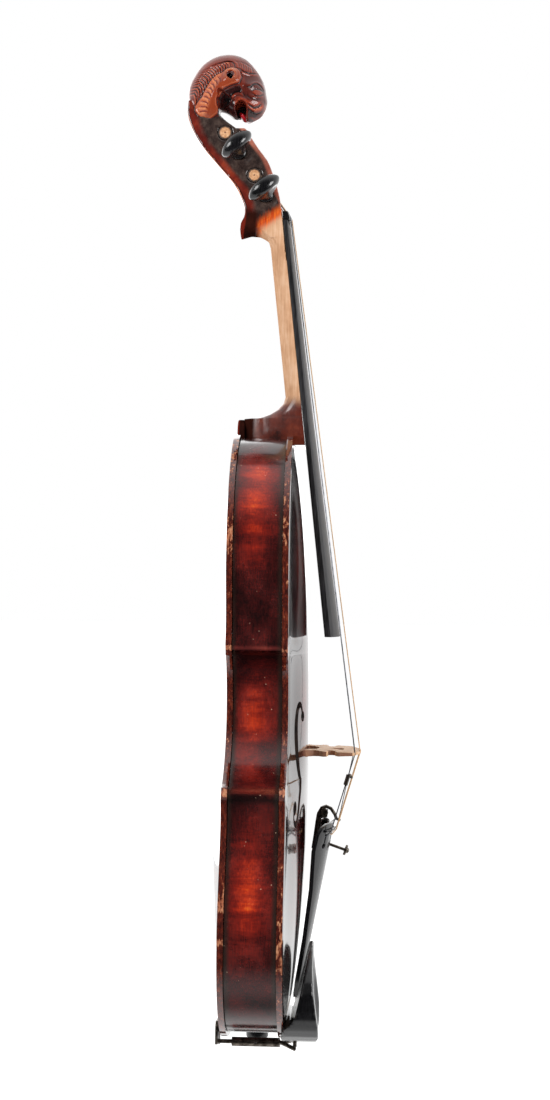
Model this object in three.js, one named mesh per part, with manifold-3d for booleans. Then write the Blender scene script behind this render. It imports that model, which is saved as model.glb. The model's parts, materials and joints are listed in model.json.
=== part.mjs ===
// A full-size violin with a carved lion head, strung and fitted with a chinrest and one fine tuner.
// Millimetres. +Z runs up the body to the head, +X points out of the belly, +Y is the treble side.
// Inside the file every place is measured from the bottom of the body on the plane where the belly
// meets the ribs. The finished group is then moved so that its origin is the place under the pegbox
// where the neck hangs in a yoke.

import * as THREE from 'three';
import { mergeVertices } from 'three/addons/utils/BufferGeometryUtils.js';
import Module from 'manifold-3d';

const wasm = await Module();
wasm.setup();

// Driving dimensions

// Clearance between two pieces that touch, and how far a cutting shape runs past what it cuts.
const fit = 0.3;
const overrun = 3;

const body = {
  length: 356,
  lowerHalf: 104, // half widths of the lower bout, the waist and the upper bout
  waistHalf: 56,
  upperHalf: 84,
  lowerCornerHalf: 92.5,
  upperCornerHalf: 77.5,
  lowerBoutHeight: 72, // heights above the bottom of the body
  lowerCornerHeight: 149.8,
  waistHeight: 190,
  upperCornerHeight: 229.1,
  upperBoutHeight: 283,
  cornerWidth: 6.4, // the blunt end of a corner
  edge: 3.3, // thickness of both plates
  bellyArch: 14.2, // full heights of the arches over the ribs
  backArch: 13.7,
  border: 8, // flat glued margin inside the outline
  endLand: 20, // flat land at the top and bottom blocks
};
const rib = {
  heightLower: 29.5,
  heightUpper: 28,
  wall: 1.2,
  overhang: 2.6,
  lining: 2,
  liningDepth: 7,
};
const block = { upperWidth: 50, upperDepth: 17, lowerWidth: 46, lowerDepth: 16, cornerReach: 26 };
const bassBar = { width: 5.5, height: 10.5, tip: 3.5, lengthShare: 0.736, offset: 16, lift: 42 };
const soundPost = { radius: 3.1, offset: 19.5, behindBridge: 7 };
const fHole = {
  upperEye: 3.1, // radii of the round ends
  lowerEye: 4.1,
  upperSpread: 25, // distances of the round ends from the centre line
  lowerSpread: 55.5,
  upperHeight: 188,
  lowerHeight: 137.5,
};
const neck = {
  overstand: 9.65, // height of the fingerboard's seat over the ribs at the top of the body
  stop: 131, // top of the body to the nut
  rise: 14.8, // how far that seat falls back between the body and the nut
  shaftDepth: 9.2,
  headDepth: 17,
  heelRise: 18.6,
  heelReach: 27.2,
  heelTopHalf: 9.6,
  heelTop: 10.4, // height of the heel's back corner over the body
  mortise: 6,
};
const board = {
  length: 252,
  nutHalf: 12,
  endHalf: 21,
  radius: 42,
  nutSide: 2.4, // thickness of the fingerboard's sides
  endSide: 3.6,
  scoop: 2.2,
};
const nut = { length: 5.2, lift: 1.1 };
const strings = {
  radii: [0.4, 0.38, 0.36, 0.3], // G, D, A, E
  nutSpread: 16,
  bridgeSpread: 34,
  tailSpread: 28.5,
  crown: 42,
  knot: 1.4,
};
const bridge = {
  place: 165.4, // height of the bridge above the bottom of the body
  lift: 4.09, // height of its crown over the line of the fingerboard carried on to it
  width: 41.5,
  footThick: 4.4,
  topThick: 1.5,
};
const tailpiece = {
  bottom: 18,
  length: 105,
  topHalf: 20.5,
  foot: 10.7, // height of the ridge over the ribs at the bottom end
  riseShare: 0.1886, // how far the ridge rises, as a share of the length
  radius: 30,
  side: 2.4,
  wall: 3,
  slotFromTop: 13,
  keyhole: 1.9,
  slotWidth: 1.5,
  slotLength: 7,
  endWall: 4,
  gutHole: 6,
};
const fret = { fromTop: 4.2, width: 1.8, height: 1.5, spread: 17 };
const tailgut = { radius: 0.9, spread: 3.2 };
const saddle = { half: 17.5, depth: 6.4, height: 8.1, front: 0.6 };
const endButton = {
  headRadius: 6.8,
  headLength: 6.6,
  rounding: 1.4,
  grooveRadius: 4.4,
  grooveLength: 5.2,
  shankRadius: 3.9,
  tipRadius: 3.3,
  shankLength: 17,
};
const head = {
  rise: 103, // height of the lion's crown over the nut
  drop: 65, // distance of its nape behind the nut
  skullRadius: 24.4,
  skullHalf: 14.5,
  nutHalf: 12.25, // half widths of the pegbox at the nut and under the throat
  throatHalf: 8.7,
  wallAtNut: 3.9, // cheek thicknesses
  wallAtThroat: 3.8,
};
const peg = {
  collarSideRadius: 3.3,
  tipRadius: 2.7,
  collarRadius: 4.7,
  collarLength: 1.6,
  waistAt: 2.3, // from the collar's face to where the shank is thinnest
  waistRadius: 2.9,
  rootRadius: 3.6,
  shank: 7,
  thumbHalf: 10.7,
  thumbLength: 17,
  thumbThick: 7,
};
const bushing = { radius: 4.4, cap: 1.2 };
const winding = { turns: 2, gap: 0.45 };
const tuner = {
  width: 3.8,
  plate: 0.9,
  cheek: 0.8,
  cheekLength: 6,
  strap: 1.3,
  leverWidth: 3,
  bossRadius: 1.6,
  ringRadius: 2.6,
  ringLength: 1.6,
  screwRadius: 0.9,
  screwReach: 14.2, // from the tailpiece to the middle of the knob
  screwLean: 19, // degrees
  screwFromTop: 15.3,
  knobRadius: 3.3,
  knobLength: 1.5,
  domeRadius: 1.8,
  pivotRadius: 0.8,
  pivotBeyond: 2.8,
  armLength: 21.6,
  hookReach: 7.4,
  nibRadius: 0.55,
  nibLength: 2.4,
  eyelet: 1.5,
  eyeletStem: 4,
};
const chinrest = {
  centre: -51, // middle of the plate across the body
  half: 35.5,
  bottom: 2,
  length: 58.5,
  height: 23.3,
  dishHeight: 24.5, // middle of the egg that hollows the plate
  dishDepth: 8.5,
  dishHalf: 30,
  dishLength: 25,
  dishPlace: 33,
  corkHalf: 15,
  corkLow: 4.5,
  corkHigh: 14,
};
const clamp = {
  centre: -47,
  spacing: 19,
  barrelRadius: 2.6,
  barrelLength: 27,
  barrelMiddle: -13,
  holeRadius: 0.9,
  rodRadius: 1.2,
  rodInBarrel: 8,
  bracketHeight: 9.5,
  prongSpacing: 9,
  prong: 7,
  footThick: 1.4,
  cork: 1.2,
  stand: 1,
};
const clip = { place: 13, length: 6.5, sleeve: 1.3, knob: 0.95, reach: 2.1 };
const hanger = { drop: 13, behind: 15 }; // from the nut to the place where the neck hangs in a yoke

// Colours read off the photograph

const finish = {
  belly: { color: 0x43160d, roughness: 0.22, metalness: 0 },
  back: { color: 0x47150d, roughness: 0.25, metalness: 0 },
  rib: { color: 0x4a150c, roughness: 0.25, metalness: 0 },
  innerWood: { color: 0xc9a87a, roughness: 0.8, metalness: 0 },
  headstock: { color: 0x6a2415, roughness: 0.3, metalness: 0 },
  ebony: { color: 0x17161a, roughness: 0.25, metalness: 0 },
  board: { color: 0x3a3a40, roughness: 0.45, metalness: 0 },
  bridge: { color: 0xd9b08c, roughness: 0.6, metalness: 0 },
  gut: { color: 0xd8b48a, roughness: 0.5, metalness: 0 },
  steel: { color: 0x55585e, roughness: 0.3, metalness: 0.9 },
  tailgut: { color: 0xe9e4dc, roughness: 0.4, metalness: 0 },
  boxwood: { color: 0xcb9560, roughness: 0.55, metalness: 0 },
  nickel: { color: 0x77706a, roughness: 0.35, metalness: 0.85 },
  cork: { color: 0xa9825a, roughness: 0.9, metalness: 0 },
  bone: { color: 0x2b2726, roughness: 0.4, metalness: 0 },
};

// Geometry helpers

const lerp = THREE.MathUtils.lerp;
const clamp01 = (value) => THREE.MathUtils.clamp(value, 0, 1);
const point = (x, y, z) => new THREE.Vector3(x, y, z);
const plane = (a, b) => new THREE.Vector2(a, b);

/** Makes a solid of a closed geometry, with its faces turned outwards. */
function solid(geometry) {
  const bare = new THREE.BufferGeometry();
  bare.setAttribute('position', geometry.getAttribute('position').clone());
  bare.setIndex(geometry.index);
  const merged = mergeVertices(bare, 1e-5);
  const places = merged.getAttribute('position').array;
  const corners = merged.index.array;
  const faces = [];
  let volume = 0;
  const a = new THREE.Vector3();
  const b = new THREE.Vector3();
  const c = new THREE.Vector3();
  for (let i = 0; i < corners.length; i += 3) {
    const [p, q, r] = [corners[i], corners[i + 1], corners[i + 2]];
    if (p === q || q === r || r === p) continue;
    faces.push([p, q, r]);
    a.fromArray(places, 3 * p);
    b.fromArray(places, 3 * q);
    c.fromArray(places, 3 * r);
    volume += a.dot(b.cross(c));
  }
  const triangles = faces.flatMap(([p, q, r]) => (volume < 0 ? [p, r, q] : [p, q, r]));
  return new wasm.Manifold(
    new wasm.Mesh({
      numProp: 3,
      vertProperties: new Float32Array(places),
      triVerts: new Uint32Array(triangles),
    }),
  );
}

/** Joins several solids into one. */
function union(parts) {
  return parts.reduce((sum, part) => sum.add(part));
}

/** Takes several solids away from one. */
function cut(from, cutters) {
  return cutters.reduce((rest, cutter) => rest.subtract(cutter), from);
}

/** Splits a closed ring of points into triangles, in the ring's own turning direction. */
function capFaces(ring) {
  const normal = new THREE.Vector3();
  ring.forEach((p, i) => {
    const q = ring[(i + 1) % ring.length];
    normal.x += (p.y - q.y) * (p.z + q.z);
    normal.y += (p.z - q.z) * (p.x + q.x);
    normal.z += (p.x - q.x) * (p.y + q.y);
  });
  normal.normalize();
  const side = Math.abs(normal.x) < 0.7 ? point(1, 0, 0) : point(0, 1, 0);
  const across = side.cross(normal).normalize();
  const along = normal.clone().cross(across);
  const flat = ring.map((p) => plane(p.dot(across), p.dot(along)));
  return THREE.ShapeUtils.triangulateShape(flat, []);
}

/** Skins a solid over rings of equally many points, with flat ends. */
function loft(rings) {
  const size = rings[0].length;
  const places = rings.flat().flatMap((p) => [p.x, p.y, p.z]);
  const faces = [];
  for (let i = 0; i + 1 < rings.length; i += 1) {
    for (let j = 0; j < size; j += 1) {
      const k = (j + 1) % size;
      const [p, q] = [i * size + j, i * size + k];
      const [r, s] = [p + size, q + size];
      faces.push(p, q, s, p, s, r);
    }
  }
  const last = (rings.length - 1) * size;
  for (const [p, q, r] of capFaces(rings[0])) faces.push(p, r, q);
  for (const [p, q, r] of capFaces(rings[rings.length - 1])) faces.push(last + p, last + q, last + r);
  const geometry = new THREE.BufferGeometry();
  geometry.setAttribute('position', new THREE.Float32BufferAttribute(places, 3));
  geometry.setIndex(faces);
  return solid(geometry);
}

/** Extrudes an outline along one axis: (y, z) along x, (x, z) along y or (x, y) along z. */
function prism(outline, axis, from, to) {
  const shape = new THREE.Shape(outline);
  const geometry = new THREE.ExtrudeGeometry(shape, { depth: to - from, bevelEnabled: false, steps: 1 });
  const place = geometry.getAttribute('position');
  for (let i = 0; i < place.count; i += 1) {
    const [u, v, w] = [place.getX(i), place.getY(i), place.getZ(i) + from];
    if (axis === 'x') place.setXYZ(i, w, u, v);
    if (axis === 'y') place.setXYZ(i, u, w, v);
    if (axis === 'z') place.setXYZ(i, u, v, w);
  }
  return solid(geometry);
}

/** Makes an upright box from its two opposite corners. */
function box(low, high) {
  const size = high.clone().sub(low);
  const middle = high.clone().add(low).multiplyScalar(0.5);
  return solid(new THREE.BoxGeometry(size.x, size.y, size.z).translate(middle.x, middle.y, middle.z));
}

/** Makes an egg shape with the given half sizes, turned about Y by an angle in degrees. */
function egg(centre, halves, tilt = 0, around = 14, down = 9) {
  const geometry = new THREE.SphereGeometry(1, around, down);
  geometry.rotateX(Math.PI / 2);
  geometry.scale(halves.x, halves.y, halves.z);
  geometry.rotateY(THREE.MathUtils.degToRad(tilt));
  return solid(geometry.translate(centre.x, centre.y, centre.z));
}

/** Revolves a profile of (radius, distance) pairs about the line from a start point. */
function turned(profile, start, direction, sides) {
  const lathe = new THREE.LatheGeometry(profile.map(([r, t]) => plane(r, t)), sides);
  const turn = new THREE.Quaternion().setFromUnitVectors(point(0, 1, 0), direction.clone().normalize());
  lathe.applyQuaternion(turn);
  return solid(lathe.translate(start.x, start.y, start.z));
}

/** Makes a round bar between two points. */
function bar(start, end, radius, sides = 12) {
  const run = end.clone().sub(start);
  const profile = [[0, 0], [radius, 0], [radius, run.length()], [0, run.length()]];
  return turned(profile, start, run, sides);
}

/** Bends a round wire through a list of points, mitred at each of them. */
function wire(route, radius, sides = 8) {
  const ahead = route.map((p, i) => {
    const before = route[Math.max(i - 1, 0)];
    const after = route[Math.min(i + 1, route.length - 1)];
    const into = i > 0 ? p.clone().sub(before).normalize() : point(0, 0, 0);
    const away = i + 1 < route.length ? after.clone().sub(p).normalize() : point(0, 0, 0);
    return into.add(away).normalize();
  });
  let across = Math.abs(ahead[0].y) < 0.9 ? point(0, 1, 0) : point(1, 0, 0);
  const rings = route.map((p, i) => {
    across = across.clone().sub(ahead[i].clone().multiplyScalar(across.dot(ahead[i]))).normalize();
    const up = ahead[i].clone().cross(across);
    return Array.from({ length: sides }, (_, k) => {
      const turn = (2 * Math.PI * k) / sides;
      const out = across.clone().multiplyScalar(radius * Math.cos(turn));
      return p.clone().add(out).addScaledVector(up, radius * Math.sin(turn));
    });
  });
  return loft(rings);
}

const pieces = [];

/** Adds a finished solid to the violin as a named mesh. */
function piece(name, shape, look) {
  const mesh = shape.getMesh();
  const geometry = new THREE.BufferGeometry();
  geometry.setAttribute('position', new THREE.BufferAttribute(mesh.vertProperties.slice(), 3));
  geometry.setIndex(new THREE.BufferAttribute(mesh.triVerts.slice(), 1));
  geometry.computeVertexNormals();
  const result = new THREE.Mesh(geometry, new THREE.MeshStandardMaterial(look));
  result.name = name;
  pieces.push(result);
}

// Lines that several pieces share

/** Height of the ribs between the two plates. */
const ribHeight = (z) => lerp(rib.heightLower, rib.heightUpper, z / body.length);

const nutStart = body.length + neck.stop;

/** Plane on the neck that carries the fingerboard. */
const neckFront = (z) => neck.overstand - (neck.rise * (z - body.length)) / neck.stop;

/** How far along the fingerboard a height lies: 0 at the nut, 1 at the board's lower end. */
const boardShare = (z) => (nutStart - z) / board.length;
const boardHalf = (z) => lerp(board.nutHalf, board.endHalf, boardShare(z));
const boardSide = (z) => lerp(board.nutSide, board.endSide, boardShare(z));

/** Drop of an arc at a distance from its middle. */
const sagitta = (radius, reach) => radius - Math.sqrt(radius * radius - reach * reach);

/** Top of the fingerboard at a place. */
function boardTop(y, z) {
  const crown = neckFront(z) + boardSide(z) + sagitta(board.radius, boardHalf(z));
  return crown - sagitta(board.radius, y);
}

const stringSide = [-1, -1 / 3, 1 / 3, 1];
const stringNames = ['g', 'd', 'a', 'e'];
const boardEnd = nutStart - board.length;
/** Line along the crown of the fingerboard, carried on past its lower end. */
const boardLine = (z) => lerp(boardTop(0, nutStart), boardTop(0, boardEnd), boardShare(z));
const bridgeCrown = boardLine(bridge.place) + bridge.lift;

const nutTop = (y) => boardTop(0, nutStart) + nut.lift - sagitta(strings.crown, y);
const bridgeTop = (y) => bridgeCrown - sagitta(strings.crown, y);

// Outline of the body: points (half width, height) up the treble side

const lowerPullShares = { flat: 0.16, bottom: 0.62, side: 0.4, swell: 0.42, tuck: 0.8, rise: 0.68 };
const waistPullShares = { low: 0.38, deep: 0.42, high: 0.45, top: 0.42 };
const upperPullShares = { tuck: 0.92, rise: 0.32, swell: 0.4, shoulder: 0.68, top: 0.5 };

function bend(a, b, c, d, steps) {
  return new THREE.CubicBezierCurve(a, b, c, d).getPoints(steps);
}

function lowerBout() {
  const flank = body.lowerCornerHeight - body.lowerBoutHeight;
  const flat = plane(body.lowerHalf * lowerPullShares.flat, 0);
  const widest = plane(body.lowerHalf, body.lowerBoutHeight);
  const tip = plane(body.lowerCornerHalf, body.lowerCornerHeight - body.cornerWidth / 2);
  const bottom = bend(
    flat,
    plane(body.lowerHalf * lowerPullShares.bottom, 0),
    plane(body.lowerHalf, body.lowerBoutHeight * lowerPullShares.side),
    widest,
    9,
  );
  const side = bend(
    widest,
    plane(body.lowerHalf, body.lowerBoutHeight + flank * lowerPullShares.swell),
    plane(body.lowerHalf * lowerPullShares.tuck, body.lowerBoutHeight + flank * lowerPullShares.rise),
    tip,
    6,
  );
  return [...bottom, ...side.slice(1)];
}

function waist() {
  const low = body.waistHeight - body.lowerCornerHeight;
  const high = body.upperCornerHeight - body.waistHeight;
  const lowTip = plane(
    body.lowerCornerHalf - body.cornerWidth / 2,
    body.lowerCornerHeight + body.cornerWidth / 2,
  );
  const highTip = plane(
    body.upperCornerHalf - body.cornerWidth / 2,
    body.upperCornerHeight - body.cornerWidth / 2,
  );
  const middle = plane(body.waistHalf, body.waistHeight);
  const lowReach = lowTip.x - body.waistHalf;
  const highReach = highTip.x - body.waistHalf;
  const lower = bend(
    lowTip,
    plane(lowTip.x - lowReach * waistPullShares.low, lowTip.y + fit),
    plane(body.waistHalf, body.waistHeight - low * waistPullShares.deep),
    middle,
    6,
  );
  const upper = bend(
    middle,
    plane(body.waistHalf, body.waistHeight + high * waistPullShares.high),
    plane(highTip.x - highReach * waistPullShares.top, highTip.y - fit),
    highTip,
    6,
  );
  return [...lower, ...upper.slice(1)];
}

function upperBout() {
  const flank = body.upperBoutHeight - body.upperCornerHeight;
  const shoulder = body.length - body.upperBoutHeight;
  const tip = plane(body.upperCornerHalf, body.upperCornerHeight + body.cornerWidth / 2);
  const widest = plane(body.upperHalf, body.upperBoutHeight);
  const side = bend(
    tip,
    plane(body.upperCornerHalf * upperPullShares.tuck, tip.y + flank * upperPullShares.rise),
    plane(body.upperHalf, body.upperBoutHeight - flank * upperPullShares.swell),
    widest,
    5,
  );
  const top = bend(
    widest,
    plane(body.upperHalf, body.upperBoutHeight + shoulder * upperPullShares.shoulder),
    plane(body.upperHalf * upperPullShares.top, body.length),
    plane(body.lowerHalf * lowerPullShares.flat, body.length),
    9,
  );
  return [...side, ...top.slice(1)];
}

const bouts = { lower: lowerBout(), waist: waist(), upper: upperBout() };
const halfOutline = [...bouts.lower, ...bouts.waist, ...bouts.upper];

/** Half width of the body at a height. */
function bodyHalf(z) {
  const above = halfOutline.findIndex((p) => p.y >= z);
  if (above <= 0) return halfOutline[above < 0 ? halfOutline.length - 1 : 0].x;
  const [a, b] = [halfOutline[above - 1], halfOutline[above]];
  return lerp(a.x, b.x, (z - a.y) / (b.y - a.y));
}

/** Prism of the whole outline between two planes. */
function outlinePrism(from, to) {
  const left = [...halfOutline].reverse().map((p) => plane(-p.x, p.y));
  return prism([...halfOutline, ...left], 'x', from, to);
}

// Arched plates

const archPower = 2.6;
const crossPower = 1.25;

/** Rise of an arch along the body: 0 at both ends of its length, 1 in the middle. */
function longRise(z, land) {
  const share = clamp01((z - land) / (body.length - 2 * land));
  return 1 - Math.abs(2 * share - 1) ** archPower;
}

/** Rise of an arch across the body: 1 on the centre line, 0 at the given half width. */
function crossRise(y, half) {
  const share = Math.min(Math.abs(y) / half, 1);
  return (1 + Math.cos(Math.PI * share ** crossPower)) / 2;
}

/** Outer and inner surfaces of a plate, as heights over the plane of the ribs. */
function archOuter(arch, y, z) {
  return body.edge + (arch - body.edge) * longRise(z, 0) * crossRise(y, bodyHalf(z));
}
function archInner(arch, y, z) {
  const half = Math.max(bodyHalf(z) - body.border, body.border);
  return (arch - body.edge) * longRise(z, body.endLand) * crossRise(y, half);
}
const bellyOuter = (y, z) => archOuter(body.bellyArch, y, z);
const bellyInner = (y, z) => archInner(body.bellyArch, y, z);
const backInner = (y, z) => -ribHeight(z) - archInner(body.backArch, y, z);

const acrossShares = [-1, -0.91, -0.74, -0.4, 0, 0.4, 0.74, 0.91, 1];

/** Lofts an arched plate along the body. The sign says which way its arch points. */
function archedPlate(arch, sign, base, hollow = archInner) {
  const rings = halfOutline.map(({ x: half, y: z }) => {
    const outer = acrossShares.map((share) => {
      const y = share * half;
      return point(base(z) + sign * archOuter(arch, y, z), y, z);
    });
    const inner = [...acrossShares].reverse().map((share) => {
      const y = share * half;
      return point(base(z) + sign * hollow(arch, y, z), y, z);
    });
    return [...outer, ...inner];
  });
  return loft(rings);
}

/** Stroke of an f-hole: shares of the way from its upper eye to its lower eye, outwards and up. */
const strokeShares = [
  [-0.013, 1.032],
  [0.026, 1.107],
  [0.118, 1.170],
  [0.243, 1.178],
  [0.348, 1.123],
  [0.433, 0.992],
  [0.525, 0.762],
  [0.610, 0.505],
  [0.675, 0.267],
  [0.734, 0.069],
  [0.793, -0.057],
  [0.866, -0.129],
  [0.951, -0.152],
  [1.023, -0.117],
  [1.049, -0.059],
  [1.102, -0.030],
  [1.115, -0.117],
  [1.036, -0.196],
  [0.905, -0.230],
  [0.767, -0.196],
  [0.649, -0.101],
  [0.551, 0.057],
  [0.466, 0.267],
  [0.407, 0.505],
  [0.334, 0.743],
  [0.275, 0.960],
  [0.230, 1.063],
  [0.170, 1.107],
  [0.111, 1.091],
  [0.052, 1.024],
];

/** Cutter for one f-hole: two round eyes and the stroke that curls into both of them. */
function fHoleCutter(side) {
  const [low, high] = [-rib.heightLower / 2, body.bellyArch + overrun];
  const { upperSpread, lowerSpread, upperHeight, lowerHeight } = fHole;
  const stroke = strokeShares.map(([out, up]) => {
    return plane(side * lerp(upperSpread, lowerSpread, out), lerp(lowerHeight, upperHeight, up));
  });
  const eye = (y, z, radius) => bar(point(low, side * y, z), point(high, side * y, z), radius);
  return union([
    prism(stroke, 'x', low, high),
    eye(upperSpread, upperHeight, fHole.upperEye),
    eye(lowerSpread, lowerHeight, fHole.lowerEye),
  ]);
}

// Neck, heel and the mortise they need

/** Ring of the neck at a height: flat in front, rounded behind. */
function neckRing(z, half, backHalf, depth, squareness, grow) {
  const steps = 14;
  const front = neckFront(z) - fit + grow;
  const ring = [];
  for (let i = 0; i <= steps; i += 1) {
    const turn = (Math.PI * i) / steps;
    const out = Math.abs(Math.cos(turn)) ** (2 / squareness) * Math.sign(Math.cos(turn));
    const down = Math.sin(turn) ** (2 / squareness);
    const y = (lerp(half, backHalf, down) + grow) * (i * 2 === steps ? 0 : out);
    ring.push(point(front - (depth + 2 * grow) * down, y, z));
  }
  return ring;
}

/** Distance from the fingerboard's seat to the heel's back at the given height. */
function heelDepth(z) {
  const drop = (body.length + neck.heelTop + neck.heelRise - z) / neck.heelRise;
  const back = -ribHeight(z) + fit;
  const reach = neck.heelReach * Math.sqrt(Math.max(1 - drop * drop, 0));
  return Math.max(neckFront(z) - fit - back - reach, neck.shaftDepth);
}

const roundShape = 2;
const squareShape = 6;
const heelShape = 4.5;

/** Heel of the neck from inside the body up to where the shaft begins. */
function heelRings(grow) {
  const bottom = body.length - neck.mortise - grow;
  const top = body.length + neck.heelTop;
  const half = boardHalf(body.length) - fit;
  const rings = [bottom, body.length, top].map((z) => {
    const depth = neckFront(z) + ribHeight(z) - 2 * fit;
    return neckRing(z, half, neck.heelTopHalf, depth, heelShape, grow);
  });
  const steps = 6;
  for (let i = 1; i <= steps; i += 1) {
    const drop = Math.cos((Math.PI * i) / (2 * steps));
    const z = top + neck.heelRise * (1 - drop);
    const shape = lerp(heelShape, roundShape, i / steps);
    const backHalf = lerp(neck.heelTopHalf, boardHalf(z), i / steps);
    rings.push(neckRing(z, boardHalf(z) - fit, backHalf, heelDepth(z), shape, grow));
  }
  return rings;
}

const shaftShares = [0.3, 0.6, 0.85];

/** Neck from the heel to the nut. */
function neckShaft() {
  const rings = heelRings(0);
  const heelEnd = body.length + neck.heelTop + neck.heelRise;
  const run = nutStart - heelEnd;
  for (const share of shaftShares) {
    const z = heelEnd + run * share;
    rings.push(neckRing(z, boardHalf(z) - fit, boardHalf(z), neck.shaftDepth, roundShape, 0));
  }
  const steps = 3;
  for (let i = 1; i <= steps; i += 1) {
    const share = i / steps;
    const z = heelEnd + run * lerp(shaftShares[shaftShares.length - 1], 1, share);
    const depth = lerp(neck.shaftDepth, neck.headDepth, share * share);
    const shape = lerp(roundShape, squareShape, share);
    rings.push(neckRing(z, boardHalf(z) - fit, boardHalf(z), depth, shape, 0));
  }
  return loft(rings);
}

/** A place on the head, given as shares of its drop behind and its rise above the nut. */
const headPlace = ([drop, rise]) => plane(-head.drop * drop, nutStart + head.rise * rise);

const pegboxBackShares = [
  [0.48, -0.092],
  [0.471, -0.034],
  [0.437, 0.034],
  [0.457, 0.106],
  [0.545, 0.214],
  [0.689, 0.321],
  [0.834, 0.429],
  [0.94, 0.537],
  [0.992, 0.631],
  [0.985, 0.72],
];
const pegboxFrontShares = [
  [0.7, 0.67],
  [0.438, 0.544],
  [0.3215, 0.429],
  [0.235, 0.357],
  [0.186, 0.285],
  [0.138, 0.194],
  [0.108, 0.1165],
  [0.095, 0.056],
];
const pegboxUndersideShares = [
  [0.2, -0.105],
  [0.3, -0.078],
  [0.385, -0.074],
];
const hollowShares = [
  [0.33, 0.073],
  [0.395, 0.13],
  [0.49, 0.238],
  [0.625, 0.341],
  [0.755, 0.44],
  [0.815, 0.53],
  [0.737, 0.638],
];
const mouthOfHollowShares = [
  [0.3, 0.425],
  [0.2, 0.37],
];
const seatShare = 0.1;

const throatShare = 0.544; // height of the throat over the nut, as a share of the head's rise
/** Half width of the pegbox at a height, outside and inside. */
const pegboxShare = (z) => clamp01((z - nutStart) / (head.rise * throatShare));
const pegboxHalf = (z) => lerp(head.nutHalf, head.throatHalf, pegboxShare(z));
const pegboxInner = (z) => pegboxHalf(z) - lerp(head.wallAtNut, head.wallAtThroat, pegboxShare(z));

/** Prism seen from the front, as wide as the given half width at each height. */
function frontTaper(halfAt, low, high, turnAt) {
  const heights = [low, nutStart, turnAt, high];
  const right = heights.map((z) => plane(halfAt(z), z));
  const left = [...right].reverse().map((p) => plane(-p.x, p.y));
  return prism([...right, ...left], 'x', -head.drop * 2, head.drop);
}

function pegbox() {
  const back = new THREE.SplineCurve(pegboxBackShares.map(headPlace)).getPoints(22);
  const front = new THREE.SplineCurve(pegboxFrontShares.slice(1).map(headPlace)).getPoints(12);
  const seat = [nutStart + nut.length, nutStart, nutStart - head.rise * seatShare].map((z) => {
    return plane(neckFront(z) - fit, z);
  });
  const under = pegboxUndersideShares.map(headPlace);
  const profile = [...back, headPlace(pegboxFrontShares[0]), ...front, ...seat, ...under];
  const blank = prism(profile, 'y', -head.nutHalf * 2, head.nutHalf * 2);
  const throat = nutStart + head.rise * throatShare;
  const taper = frontTaper(pegboxHalf, nutStart - head.drop, nutStart + head.rise, throat);
  const [deep, lip] = mouthOfHollowShares.map(headPlace);
  const slot = [
    plane(overrun, nutStart + nut.length + overrun),
    ...hollowShares.map(headPlace),
    deep,
    lip,
    plane(overrun, lip.y),
  ];
  const hollow = prism(slot, 'y', -head.nutHalf, head.nutHalf);
  const inner = frontTaper(pegboxInner, nutStart - head.drop, nutStart + head.rise, throat);
  return blank.intersect(taper).subtract(hollow.intersect(inner));
}

// Pegs: their places, the side their heads are on and the lean of each thumbpiece

const pegPlans = [
  { name: 'g', shares: [0.246, 0.1485], side: -1, lean: 19, inward: true },
  { name: 'd', shares: [0.505, 0.405], side: -1, lean: 45, inward: false },
  { name: 'a', shares: [0.634, 0.522], side: 1, lean: 60, inward: false },
  { name: 'e', shares: [0.354, 0.266], side: 1, lean: 30, inward: true },
];

/** Radius of a peg's shaft at a distance along its axis, positive towards its thumbpiece. */
function pegRadius(t, half) {
  return lerp(peg.tipRadius, peg.collarSideRadius, clamp01((t + half) / (2 * half)));
}

function pegHoles() {
  return pegPlans.map(({ shares }) => {
    const { x, y: z } = headPlace(shares);
    const reach = head.nutHalf + overrun;
    return bar(point(x, -reach, z), point(x, reach, z), bushing.radius + fit, 12);
  });
}

// The carved lion head: its outline seen from the side, puffed out on both sides and carved in relief

const skullShares = [0.631, 0.767];
const skull = headPlace(skullShares);

/** Outline of the head as shares of the skull's radius, at equal steps of angle from the front up. */
const rimShares = [
  0.995, 0.982, 0.975, 0.984, 1.02, 1.03, 1.02, 1.005, 0.986, 0.97, 0.952, 0.975,
  0.98, 1, 0.99, 0.96, 0.89, 0.84, 0.82, 0.865, 0.9, 0.94, 0.99, 1.06,
];
const ringShares = [0.17, 0.31, 0.44, 0.57, 0.69, 0.8, 0.89, 0.96, 1];
const fullness = 2.6;

/** Raised places: middle, half lengths along and across, turn in degrees, and height as a share. */
const reliefShares = [
  { at: [0.19, 0.27], size: [0.2, 0.2], turn: 0, height: 0.34 }, // ear
  { at: [0.57, 0.5], size: [0.26, 0.07], turn: 14, height: 0.16 }, // hair line
  { at: [0.66, 0.12], size: [0.24, 0.08], turn: 8, height: 0.2 }, // brow
  { at: [0.8, -0.09], size: [0.1, 0.09], turn: 0, height: 0.14 }, // eye
  { at: [0.74, -0.34], size: [0.3, 0.15], turn: -8, height: 0.26 }, // muzzle
  { at: [0.1, -0.42], size: [0.34, 0.13], turn: -57, height: 0.2 }, // jaw
  { at: [-0.16, 0.02], size: [0.4, 0.15], turn: 50, height: 0.2 }, // lock beside the ear
  { at: [-0.46, -0.46], size: [0.36, 0.14], turn: 62, height: 0.2 },
  { at: [-0.53, -0.7], size: [0.17, 0.17], turn: 0, height: 0.34 }, // lobe that ends the lock
];
const mane = {
  from: 42, // degrees
  to: 222,
  reachShare: 0.76,
  widthShare: 0.2,
  heightShare: 0.2,
  curls: 11,
  curlShare: 0.5,
};

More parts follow.
